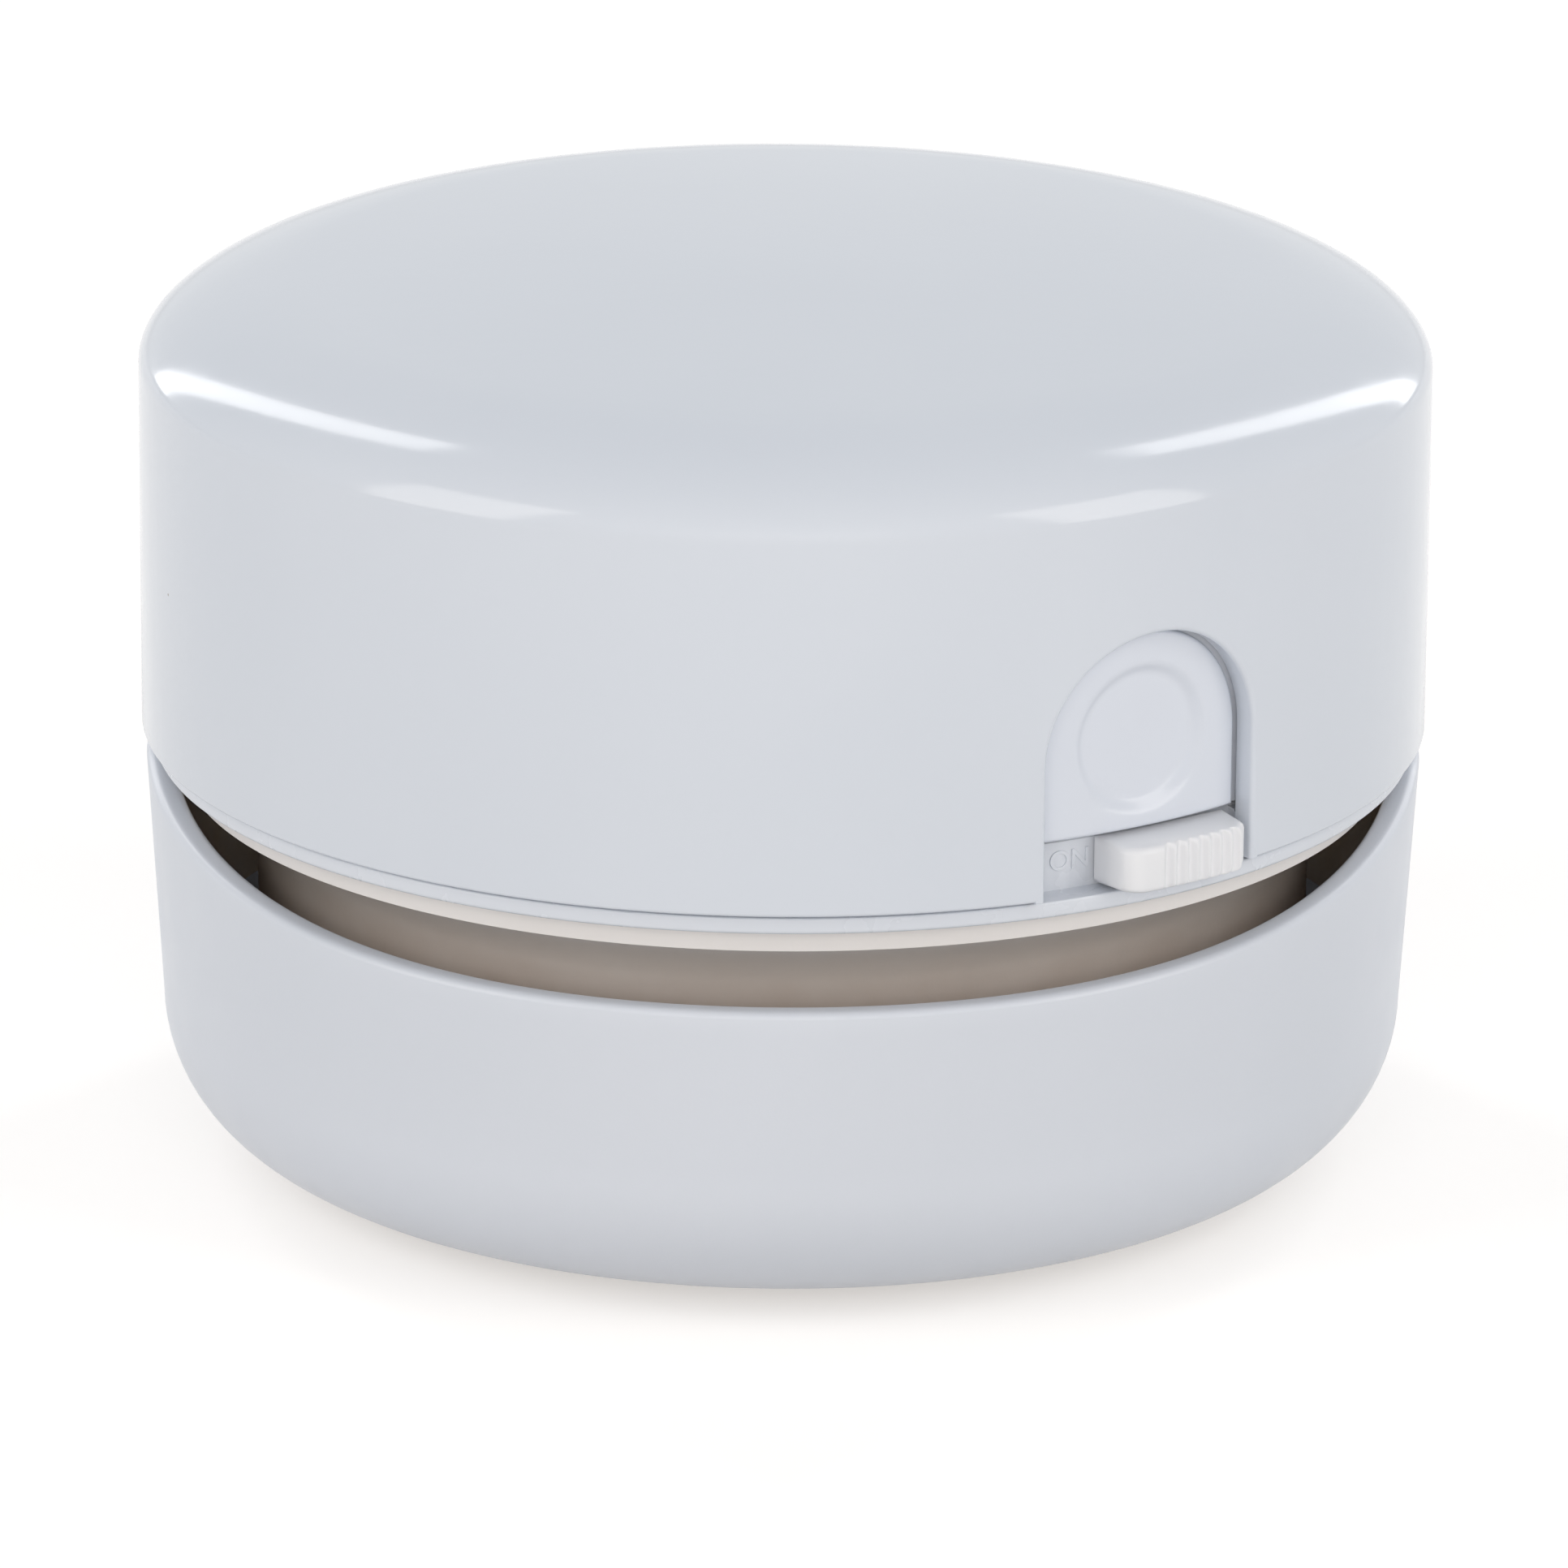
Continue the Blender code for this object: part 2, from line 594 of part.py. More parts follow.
def make_brush(carrier_material, bristle_material):
    inner = CHANNEL_INNER_RADIUS + SEAT_GAP
    outer = CHANNEL_OUTER_RADIUS - SEAT_GAP
    top = CHANNEL_TOP_Z - SEAT_GAP
    groove_inner = inner + BACKING_MARGIN
    groove_outer = outer - BACKING_MARGIN
    groove_top = CARRIER_BOTTOM_Z + BACKING_GROOVE_DEPTH
    add_object("brush_ring", revolve([
        (inner, CARRIER_BOTTOM_Z),
        (groove_inner, CARRIER_BOTTOM_Z),
        (groove_inner, groove_top),
        (groove_outer, groove_top),
        (groove_outer, CARRIER_BOTTOM_Z),
        (outer, CARRIER_BOTTOM_Z),
        (outer, top),
        (inner, top),
    ], RING_STEPS), carrier_material, None)

    backing_inner = groove_inner + SEAT_GAP
    backing_outer = groove_outer - SEAT_GAP
    backing_top = groove_top - SEAT_GAP
    backing_bottom = backing_top - BACKING_THICKNESS
    span = TURN / BRISTLE_ARCS - ARC_END_GAP / backing_outer
    row_pitch = (backing_outer - backing_inner) / BRISTLE_ROWS
    for index in range(BRISTLE_ARCS):
        start = TURN * index / BRISTLE_ARCS + (TURN / BRISTLE_ARCS - span) / 2.0
        backing = revolve([
            (backing_inner, backing_bottom),
            (backing_outer, backing_bottom),
            (backing_outer, backing_top),
            (backing_inner, backing_top),
        ], RING_STEPS // BRISTLE_ARCS, span, start)
        arc = add_object(f"bristle_arc_{index + 1}", backing, bristle_material, None)
        strands = []
        for row in range(BRISTLE_ROWS):
            root_radius = backing_inner + row_pitch * (row + 0.5)
            for place in range(BRISTLES_PER_ROW):
                angle = start + span * (place + 0.5) / BRISTLES_PER_ROW
                outward = Vector((math.cos(angle), math.sin(angle), 0.0))
                root = outward * root_radius + Vector((0.0, 0.0, backing_bottom + SINK))
                tip = outward * (root_radius + BRISTLE_LEAN) + Vector((0.0, 0.0, BRISTLE_TIP_Z))
                strands.append(make_strand(root, tip, angle))
        combine(arc, "UNION", add_tool(f"strands_{index + 1}", gather(strands), None))


def make_strand(root, tip, angle):
    """One bristle: a three-sided strand whose cut end is level."""
    mesh_data = bmesh.new()
    rings = []
    for centre in (root, tip):
        ring = []
        for corner in range(3):
            turn = angle + TURN * corner / 3.0
            offset = Vector((math.cos(turn), math.sin(turn), 0.0)) * BRISTLE_RADIUS
            ring.append(mesh_data.verts.new(centre + offset))
        rings.append(ring)
    for corner in range(3):
        after = (corner + 1) % 3
        mesh_data.faces.new((rings[0][corner], rings[0][after], rings[1][after], rings[1][corner]))
    mesh_data.faces.new(rings[0])
    mesh_data.faces.new(rings[1])
    return mesh_data


def make_filter(frame_material, filter_material, seal_material, upper):
    seal_bottom = FILTER_WALL_TOP_Z + SEAT_GAP
    seal_inner = FILTER_WALL_RADIUS - FILTER_WALL_THICKNESS - SEAL_OVERLAP
    seal_outer = FILTER_WALL_RADIUS + SEAL_OVERLAP
    seal_middle = (seal_inner + seal_outer) / 2.0
    add_object("seal_ring", revolve([
        (seal_inner, seal_bottom),
        (seal_outer, seal_bottom),
        (seal_outer, seal_bottom + SEAL_HEIGHT / 2.0),
        (seal_middle, seal_bottom + SEAL_HEIGHT),
        (seal_inner, seal_bottom + SEAL_HEIGHT / 2.0),
    ], RING_STEPS), seal_material, None)

    rim_inner = FRAME_RADIUS - FRAME_RIM_WIDTH
    ledge_z = FRAME_BOTTOM_Z + SPOKE_HEIGHT
    frame = add_object("filter_frame", revolve([
        (rim_inner, FRAME_BOTTOM_Z),
        (FRAME_RADIUS, FRAME_BOTTOM_Z),
        (FRAME_RADIUS, FRAME_TOP_Z),
        (rim_inner + FRAME_RIM_WIDTH / 2.0, FRAME_TOP_Z),
        (rim_inner + FRAME_RIM_WIDTH / 2.0, ledge_z),
        (rim_inner, ledge_z),
    ], RING_STEPS), frame_material, upper)
    half = SPOKE_WIDTH / 2.0
    root = FRAME_HUB_RADIUS - SINK
    spokes = gather(around(
        lambda: block((root, -half, FRAME_BOTTOM_Z), (rim_inner + SINK, half, ledge_z)), FRAME_SPOKES
    ))
    hub = rod((0.0, 0.0, FRAME_BOTTOM_Z), (0.0, 0.0, ledge_z), FRAME_HUB_RADIUS)
    combine(frame, "UNION", add_tool("frame_hub", hub, upper), add_tool("frame_spokes", spokes, upper))

    disc_radius = rim_inner + FRAME_RIM_WIDTH / 2.0 - SEAT_GAP
    disc_z = ledge_z + SEAT_GAP + PLEAT_DEPTH
    disc = revolve([
        (0.0, disc_z),
        (disc_radius, disc_z),
        (disc_radius, disc_z + FILTER_THICKNESS),
        (0.0, disc_z + FILTER_THICKNESS),
    ], PLEATS * 2)
    for vert in disc.verts:
        if math.hypot(vert.co.x, vert.co.y) > disc_radius / 2.0:
            azimuth = math.atan2(vert.co.y, vert.co.x)
            vert.co.z += PLEAT_DEPTH * math.cos(PLEATS * azimuth)
    add_object("filter_disc", disc, filter_material, upper)


def make_shroud(material, upper):
    collar_inner = FRAME_RADIUS + SEAT_GAP
    collar_outer = collar_inner + COLLAR_WALL
    collar_bottom = SHROUD_FLOOR_Z - COLLAR_DEPTH
    wall_inner = SHROUD_UPPER_RADIUS - SHROUD_WALL
    flare_width = (SHROUD_UPPER_RADIUS - SHROUD_LOWER_RADIUS) / (1.0 - math.cos(FLARE_TURN))
    flare_height = (FLARE_TOP_Z - SHROUD_BEND_Z) / math.sin(FLARE_TURN)
    flare = arc_points(
        (SHROUD_LOWER_RADIUS + flare_width, SHROUD_BEND_Z),
        (flare_width, flare_height),
        TURN / 2.0,
        TURN / 2.0 - FLARE_TURN,
        CORNER_STEPS - 1,
    )
    outline = [
        (FAN_EYE_RADIUS, SHROUD_FLOOR_Z),
        (collar_inner, SHROUD_FLOOR_Z),
        (collar_inner, collar_bottom),
        (collar_outer, collar_bottom),
        (collar_outer, SHROUD_FLOOR_Z),
        (SHROUD_LOWER_RADIUS, SHROUD_FLOOR_Z),
        *flare,
        (SHROUD_UPPER_RADIUS, SHROUD_TOP_Z),
        (wall_inner, SHROUD_TOP_Z),
        *[(r - SHROUD_WALL, z) for r, z in reversed(flare)],
        (SHROUD_LOWER_RADIUS - SHROUD_WALL, SHROUD_PLATE_TOP_Z),
        (FAN_EYE_RADIUS, SHROUD_PLATE_TOP_Z),
    ]
    shroud = add_object("fan_shroud", revolve(outline, SHROUD_STEPS), material, upper)

    lug_bottom = SHROUD_TOP_Z - LUG_THICKNESS
    for index, turns in enumerate(LUG_QUARTER_TURNS):
        turned = Matrix.Rotation(TURN * turns / 4.0 - TURN / 4.0, 4, "Z")
        web = block((LUG_PITCH_RADIUS, -LUG_RADIUS, lug_bottom), (wall_inner + SINK, LUG_RADIUS, SHROUD_TOP_Z))
        web.transform(turned)
        centre = turned @ Vector((LUG_PITCH_RADIUS, 0.0, 0.0))
        foot = centre + Vector((0.0, 0.0, lug_bottom))
        head = centre + Vector((0.0, 0.0, SHROUD_TOP_Z))
        over = Vector((0.0, 0.0, OVERRUN))
        combine(
            shroud,
            "UNION",
            add_tool(f"lug_web_{index + 1}", web, upper),
            add_tool(f"lug_nose_{index + 1}", rod(foot, head, LUG_RADIUS), upper),
        )
        hole = rod(foot - over, head + over, SCREW_SHANK_RADIUS + SEAT_GAP, SCREW_SIDES)
        combine(shroud, "DIFFERENCE", add_tool(f"lug_hole_{index + 1}", hole, upper))

    slot_bottom = SHROUD_PLATE_TOP_Z + SLOT_SILL
    slot_inner = SHROUD_LOWER_RADIUS - SHROUD_WALL - OVERRUN
    slots = gather(around(
        lambda: block(
            (slot_inner, -SLOT_WIDTH / 2.0, slot_bottom),
            (SHROUD_LOWER_RADIUS + OVERRUN, SLOT_WIDTH / 2.0, slot_bottom + SLOT_HEIGHT),
        ),
        EXHAUST_SLOTS,
        TURN / EXHAUST_SLOTS / 2.0,
    ))
    combine(shroud, "DIFFERENCE", add_tool("exhaust_slots", slots, upper))


def make_shroud_screws(material, upper):
    head_top = SHROUD_TOP_Z - LUG_THICKNESS - SEAT_GAP
    for index, turns in enumerate(LUG_QUARTER_TURNS):
        screw = revolve([
            (0.0, head_top - SCREW_HEAD_HEIGHT),
            (SCREW_HEAD_RADIUS, head_top - SCREW_HEAD_HEIGHT),
            (SCREW_HEAD_RADIUS, head_top),
            (SCREW_SHANK_RADIUS, head_top),
            (SCREW_SHANK_RADIUS, head_top + SCREW_LENGTH),
            (0.0, head_top + SCREW_LENGTH),
        ], SCREW_SIDES)
        angle = TURN * turns / 4.0 - TURN / 4.0
        place = Matrix.Rotation(angle, 4, "Z") @ Matrix.Translation((LUG_PITCH_RADIUS, 0.0, 0.0))
        screw.transform(place)
        add_object(f"shroud_screw_{index + 1}", screw, material, upper)


def make_impeller(fan_material, steel, upper):
    bore = SHAFT_RADIUS + SEAT_GAP
    cone_width = IMPELLER_HUB_RADIUS
    cone = arc_points(
        (IMPELLER_HUB_RADIUS + cone_width, IMPELLER_BOTTOM_Z),
        (cone_width, VANE_HEIGHT),
        TURN / 2.0,
        TURN / 4.0,
        CORNER_STEPS - 1,
    )
    wheel = add_object("impeller", revolve([
        (bore, IMPELLER_BOTTOM_Z),
        *cone,
        (IMPELLER_RADIUS, PLATE_BOTTOM_Z),
        (IMPELLER_RADIUS, PLATE_TOP_Z),
        (IMPELLER_HUB_RADIUS + HUB_RISE, PLATE_TOP_Z),
        (IMPELLER_HUB_RADIUS, PLATE_TOP_Z + HUB_RISE),
        (bore, PLATE_TOP_Z + HUB_RISE),
    ], RING_STEPS), fan_material, upper)
    vanes = gather(around(make_vane, VANES))
    combine(wheel, "UNION", add_tool("vanes", vanes, upper))
    set_origin(wheel, (0.0, 0.0, PLATE_BOTTOM_Z))

    shaft_top = MOTOR_Z + SHAFT_IN_MOTOR
    shaft = rod((0.0, 0.0, IMPELLER_BOTTOM_Z), (0.0, 0.0, shaft_top), SHAFT_RADIUS)
    set_origin(add_object("motor_shaft", shaft, steel, upper), (0.0, 0.0, PLATE_BOTTOM_Z))


def make_vane():
    """One backward-curved vane, swept from the hub to the rim."""
    start_radius = IMPELLER_HUB_RADIUS + VANE_THICKNESS
    end_radius = IMPELLER_RADIUS - SINK
    spine = []
    for step in range(VANE_STEPS + 1):
        share = step / VANE_STEPS
        radius = start_radius + (end_radius - start_radius) * share
        angle = -VANE_SWEEP * share
        spine.append(Vector((radius * math.cos(angle), radius * math.sin(angle))))
    left, right = [], []
    for index, point in enumerate(spine):
        before = spine[max(index - 1, 0)]
        after = spine[min(index + 1, VANE_STEPS)]
        along = (after - before).normalized()
        side = Vector((-along.y, along.x)) * VANE_THICKNESS / 2.0
        left.append(point + side)
        right.append(point - side)
    outline = [tuple(point) for point in left + right[::-1]]
    return extrude(outline, IMPELLER_BOTTOM_Z, PLATE_BOTTOM_Z + SINK)


def motor_outline(grow):
    """A round can with two flats, as seen from above."""
    radius = MOTOR_RADIUS + grow
    limit = math.asin((MOTOR_HALF_FLAT + grow) / radius)
    right = arc_points((0.0, 0.0), (radius, radius), -limit, limit, CORNER_STEPS)
    left = arc_points((0.0, 0.0), (radius, radius), TURN / 2.0 - limit, TURN / 2.0 + limit, CORNER_STEPS)
    return right + left


def make_motor(steel, white_nylon, brass, upper):
    can_top = MOTOR_Z + MOTOR_CAN_LENGTH
    can = add_object("motor_can", extrude(motor_outline(0.0), MOTOR_Z, can_top), steel, upper)
    nose_bottom = MOTOR_Z - MOTOR_NOSE_LENGTH
    nose = rod((0.0, 0.0, nose_bottom), (0.0, 0.0, MOTOR_Z + SINK), MOTOR_NOSE_RADIUS)
    bore_top = MOTOR_Z + SHAFT_IN_MOTOR + SEAT_GAP
    bore = rod((0.0, 0.0, nose_bottom - OVERRUN), (0.0, 0.0, bore_top), SHAFT_RADIUS + SEAT_GAP)
    combine(can, "UNION", add_tool("motor_nose", nose, upper))
    combine(can, "DIFFERENCE", add_tool("motor_bore", bore, upper))

    cap_top = MOTOR_CAP_Z + MOTOR_CAP_HEIGHT
    add_object("motor_endcap", extrude(motor_outline(-SEAT_GAP), MOTOR_CAP_Z, cap_top), white_nylon, upper)
    tab_bottom = cap_top + SEAT_GAP
    for name, side in (("motor_terminal_left", -1.0), ("motor_terminal_right", 1.0)):
        x = side * TERMINAL_SPREAD
        tab = block(
            (x - TERMINAL_THICKNESS / 2.0, -TERMINAL_WIDTH / 2.0, tab_bottom),
            (x + TERMINAL_THICKNESS / 2.0, TERMINAL_WIDTH / 2.0, tab_bottom + TERMINAL_HEIGHT),
        )
        add_object(name, tab, brass, upper)


def post_face():
    """Distance from the middle to the face of each battery post: a battery, its nub, spring and plates."""
    length = BATTERY_LENGTH + BATTERY_NUB_LENGTH + CONTACT_SPRING_LENGTH + CONTACT_THICKNESS * 2.0
    return (length + SEAT_GAP * 4.0) / 2.0


def make_battery(name, nub_side, y, material, upper):
    """An AA cell lying along X, its nub facing nub_side."""
    plate_face = post_face() - SEAT_GAP - CONTACT_THICKNESS
    nub_end = plate_face - SEAT_GAP
    body_end = nub_end - BATTERY_NUB_LENGTH
    body_start = body_end - BATTERY_LENGTH
    cell = revolve([
        (0.0, body_start),
        (BATTERY_RADIUS - BATTERY_ROUND, body_start),
        (BATTERY_RADIUS, body_start + BATTERY_ROUND),
        (BATTERY_RADIUS, body_end - BATTERY_ROUND),
        (BATTERY_RADIUS - BATTERY_ROUND, body_end),
        (BATTERY_NUB_RADIUS, body_end),
        (BATTERY_NUB_RADIUS, nub_end),
        (0.0, nub_end),
    ], RING_STEPS // 2)
    cell.transform(Matrix.Rotation(nub_side * TURN / 4.0, 4, "Y"))
    item = add_object(name, cell, material, upper)
    item.location = (0.0, y, BATTERY_Z)


def make_contact_plate(name, x, y_low, y_high, tab_y, material, upper):
    """A sprung steel plate against a battery post, with a solder tab on its top edge."""
    low = (x - CONTACT_THICKNESS / 2.0, y_low, BATTERY_Z - CONTACT_HALF_WIDTH)
    plate = add_object(name, block(low, (x + CONTACT_THICKNESS / 2.0, y_high, POST_TOP_Z)), material, upper)
    if tab_y is not None:
        tab = block(
            (x - CONTACT_THICKNESS / 2.0, tab_y - CONTACT_TAB_WIDTH / 2.0, POST_TOP_Z - SINK),
            (x + CONTACT_THICKNESS / 2.0, tab_y + CONTACT_TAB_WIDTH / 2.0, POST_TOP_Z + CONTACT_TAB_HEIGHT),
        )
        combine(plate, "UNION", add_tool(name + "_tab", tab, upper))


def make_contacts(steel, upper):
    plate_x = post_face() - SEAT_GAP - CONTACT_THICKNESS / 2.0
    half = CONTACT_HALF_WIDTH
    for name, side in (("positive_contact", -1.0), ("negative_contact", 1.0)):
        y = side * BATTERY_OFFSET
        make_contact_plate(name, plate_x, y - half, y + half, y, steel, upper)
    reach = BATTERY_OFFSET + half
    make_contact_plate("bridge_contact", -plate_x, -reach, reach, None, steel, upper)

    wire = CONTACT_WIRE_RADIUS
    wide_x = plate_x - CONTACT_THICKNESS / 2.0 - SEAT_GAP - wire
    narrow_x = wide_x - CONTACT_SPRING_LENGTH + SEAT_GAP * 2.0 + wire * 2.0
    for name, side, y in (
        ("contact_spring_1", -1.0, -BATTERY_OFFSET),
        ("contact_spring_2", 1.0, BATTERY_OFFSET),
    ):
        points = helix(
            (side * wide_x, y, BATTERY_Z),
            (side * narrow_x, y, BATTERY_Z),
            CONTACT_SPRING_WIDE,
            CONTACT_SPRING_NARROW,
            CONTACT_SPRING_TURNS,
            COIL_STEPS,
        )
        gap = coil_self_gap(points, COIL_STEPS, wire)
        print(f"{name}: least gap between turns {gap / MM:.2f} mm")
        tube(name, points, wire, steel, upper)


def arch_outline(half_width, bottom, top):
    """A straight-sided opening with a half-round top, as (x, z) points."""
    centre_z = top - half_width
    arc = arc_points((0.0, centre_z), (half_width, half_width), 0.0, TURN / 2.0, WINDOW_ARC_STEPS)
    return [(-half_width, bottom), (half_width, bottom), *arc]


def make_chassis(material, upper):
    band_inner = BAND_RADIUS - BAND_WALL
    spigot_inner = SPIGOT_RADIUS - SPIGOT_WALL
    spigot_top = BAND_TOP_Z + SPIGOT_HEIGHT
    chassis = add_object("chassis", revolve([
        (0.0, DECK_Z),
        (band_inner, DECK_Z),
        (band_inner, BAND_BOTTOM_Z),
        (BAND_RADIUS, BAND_BOTTOM_Z),
        (BAND_RADIUS, BAND_TOP_Z),
        (SPIGOT_RADIUS, BAND_TOP_Z),
        (SPIGOT_RADIUS, spigot_top),
        (spigot_inner, spigot_top),
        (spigot_inner, DECK_TOP_Z),
        (0.0, DECK_TOP_Z),
    ], BODY_STEPS), material, upper)

    recess_half = WINDOW_HALF_WIDTH + SEAT_GAP
    recess = add_tool("control_recess", block(
        (-recess_half, -BODY_RADIUS - OVERRUN, BAND_TOP_Z),
        (recess_half, -spigot_inner + OVERRUN, spigot_top + OVERRUN),
    ), upper)
    recess_core = rod(
        (0.0, 0.0, BAND_TOP_Z - OVERRUN), (0.0, 0.0, spigot_top + OVERRUN * 2.0), PANEL_RADIUS, BODY_STEPS
    )
    combine(recess, "DIFFERENCE", add_tool("recess_core", recess_core, upper))
    panel_half = math.asin((recess_half + PANEL_SIDE) / PANEL_RADIUS)
    panel = revolve([
        (PANEL_INNER_RADIUS, DECK_Z + SINK),
        (PANEL_RADIUS, DECK_Z + SINK),
        (PANEL_RADIUS, PANEL_TOP_Z),
        (PANEL_INNER_RADIUS, PANEL_TOP_Z),
    ], CORNER_STEPS, panel_half * 2.0, -TURN / 4.0 - panel_half)
    combine(chassis, "DIFFERENCE", recess)
    combine(chassis, "UNION", add_tool("control_panel", panel, upper))

    well = extrude(motor_outline(SEAT_GAP + WELL_WALL), WELL_FLOOR_Z, DECK_Z + SINK)
    combine(chassis, "UNION", add_tool("motor_well", well, upper), *chassis_supports(upper))

    pocket = extrude(motor_outline(SEAT_GAP), WELL_FLOOR_Z + WELL_FLOOR_THICKNESS, DECK_TOP_Z + OVERRUN)
    nose_hole = rod(
        (0.0, 0.0, WELL_FLOOR_Z - OVERRUN),
        (0.0, 0.0, MOTOR_Z + OVERRUN),
        MOTOR_NOSE_RADIUS + SEAT_GAP,
    )
    slot_half = LEVER_WIDTH / 2.0 + SEAT_GAP
    lever_slot = block(
        (KNOB_CENTRE_X - SWITCH_TRAVEL - slot_half, -PANEL_RADIUS - OVERRUN,
         LEVER_Z - LEVER_HEIGHT / 2.0 - SEAT_GAP),
        (KNOB_CENTRE_X + slot_half, -PANEL_INNER_RADIUS + OVERRUN, LEVER_Z + LEVER_HEIGHT / 2.0 + SEAT_GAP),
    )
    stem_hole = rod(
        (0.0, -SPRING_SEAT - OVERRUN, STEM_Z),
        (0.0, -SPRING_SEAT + GUIDE_THICKNESS + OVERRUN, STEM_Z),
        STEM_RADIUS + SEAT_GAP,
    )
    cutters = [
        add_tool("motor_pocket", pocket, upper),
        add_tool("nose_hole", nose_hole, upper),
        add_tool("lever_slot", lever_slot, upper),
        add_tool("stem_hole", stem_hole, upper),
    ]
    cell_reach = post_face() - OVERRUN
    for index, side in enumerate((-1.0, 1.0)):
        y = side * BATTERY_OFFSET
        bed = rod(
            (-cell_reach, y, BATTERY_Z), (cell_reach, y, BATTERY_Z), BATTERY_RADIUS + SEAT_GAP, RING_STEPS // 2
        )
        cutters.append(add_tool(f"battery_bed_{index + 1}", bed, upper))
    for index, turns in enumerate(LUG_QUARTER_TURNS):
        centre = Matrix.Rotation(TURN * turns / 4.0 - TURN / 4.0, 4, "Z") @ Vector((LUG_PITCH_RADIUS, 0.0, 0.0))
        hole_top = SHROUD_TOP_Z - LUG_THICKNESS + SCREW_LENGTH
        hole = rod(
            centre + Vector((0.0, 0.0, DECK_Z - OVERRUN)),
            centre + Vector((0.0, 0.0, hole_top)),
            SCREW_SHANK_RADIUS + SEAT_GAP,
            SCREW_SIDES,
        )
        cutters.append(add_tool(f"boss_hole_{index + 1}", hole, upper))
    combine(chassis, "DIFFERENCE", *cutters)


def chassis_supports(upper):
    """What stands on the deck: battery cradles and posts, screw bosses and the button's guide."""
    foot = DECK_TOP_Z - SINK
    supports = []
    cradle_top = BATTERY_Z - BATTERY_RADIUS + CRADLE_WRAP
    cradle_half = math.sqrt(BATTERY_RADIUS ** 2 - (BATTERY_RADIUS - CRADLE_WRAP) ** 2)
    post_x = post_face() + POST_THICKNESS / 2.0
    for row, y in enumerate((-BATTERY_OFFSET, BATTERY_OFFSET)):
        for column, side in enumerate((-1.0, 1.0)):
            tag = f"{row + 1}_{column + 1}"
            rib_x = side * CRADLE_PITCH / 2.0
            rib = block(
                (rib_x - CRADLE_THICKNESS / 2.0, y - cradle_half, foot),
                (rib_x + CRADLE_THICKNESS / 2.0, y + cradle_half, cradle_top),
            )
            supports.append(add_tool(f"cradle_{tag}", rib, upper))
            post = block(
                (side * post_x - POST_THICKNESS / 2.0, y - POST_HALF_WIDTH, foot),
                (side * post_x + POST_THICKNESS / 2.0, y + POST_HALF_WIDTH, POST_TOP_Z),
            )
            supports.append(add_tool(f"battery_post_{tag}", post, upper))
    for index, turns in enumerate(LUG_QUARTER_TURNS):
        centre = Matrix.Rotation(TURN * turns / 4.0 - TURN / 4.0, 4, "Z") @ Vector((LUG_PITCH_RADIUS, 0.0, 0.0))
        boss = rod(
            centre + Vector((0.0, 0.0, foot)),
            centre + Vector((0.0, 0.0, DECK_TOP_Z + BOSS_HEIGHT)),
            BOSS_RADIUS,
        )
        supports.append(add_tool(f"screw_boss_{index + 1}", boss, upper))

    opening_half = switch_half_length() + SEAT_GAP
    guide_half = opening_half + GUIDE_LEG_WIDTH
    guide = add_tool("button_guide", block(
        (SWITCH_CENTRE_X - guide_half, -SPRING_SEAT, foot),
        (SWITCH_CENTRE_X + guide_half, -SPRING_SEAT + GUIDE_THICKNESS, STEM_Z + STEM_RADIUS + GUIDE_MARGIN),
    ), upper)
    switch_top = DECK_TOP_Z + SEAT_GAP + SWITCH_HEIGHT
    doorway = block(
        (SWITCH_CENTRE_X - opening_half, -SPRING_SEAT - OVERRUN, DECK_TOP_Z),
        (SWITCH_CENTRE_X + opening_half, -SPRING_SEAT + GUIDE_THICKNESS + OVERRUN, switch_top + SEAT_GAP),
    )
    combine(guide, "DIFFERENCE", add_tool("guide_doorway", doorway, upper))
    return [*supports, guide]


def cap_crown_z(radius, top_z):
    """Height of the domed top before the shoulder falls away."""
    return top_z - DOME_RISE * (radius / BODY_RADIUS) ** 2


def cap_profile(wall):
    """One side of the cap's section, from the wall's top round the shoulder to the middle."""
    side = BODY_RADIUS - wall
    top_z = CROWN_Z - wall
    width = SHOULDER_WIDTH - wall
    drop = SHOULDER_DROP - wall
    flat_radius = side - width
    points = []
    for step in range(SHOULDER_STEPS + 1):
        turn = TURN / 4.0 * (1.0 - step / SHOULDER_STEPS)
        radius = flat_radius + width * math.sin(turn)
        points.append((radius, cap_crown_z(radius, top_z) - drop * (1.0 - math.cos(turn))))
    for step in (1, 0):
        radius = flat_radius * step / 2.0
        points.append((radius, cap_crown_z(radius, top_z)))
    return points


def make_cap(material, upper):
    outline = [(CAP_INNER_RADIUS, SEAM_Z), (BODY_RADIUS, SEAM_Z)]
    outline += cap_profile(0.0)
    outline += reversed(cap_profile(CAP_WALL))
    cap = add_object("top_cap", revolve(outline, BODY_STEPS), material, upper)
    window = extrude(
        arch_outline(WINDOW_HALF_WIDTH, SEAM_Z - OVERRUN, WINDOW_TOP_Z),
        -BODY_RADIUS - OVERRUN,
        -CAP_INNER_RADIUS + OVERRUN + CAP_WALL,
        "Y",
    )
    combine(cap, "DIFFERENCE", add_tool("control_window", window, upper))


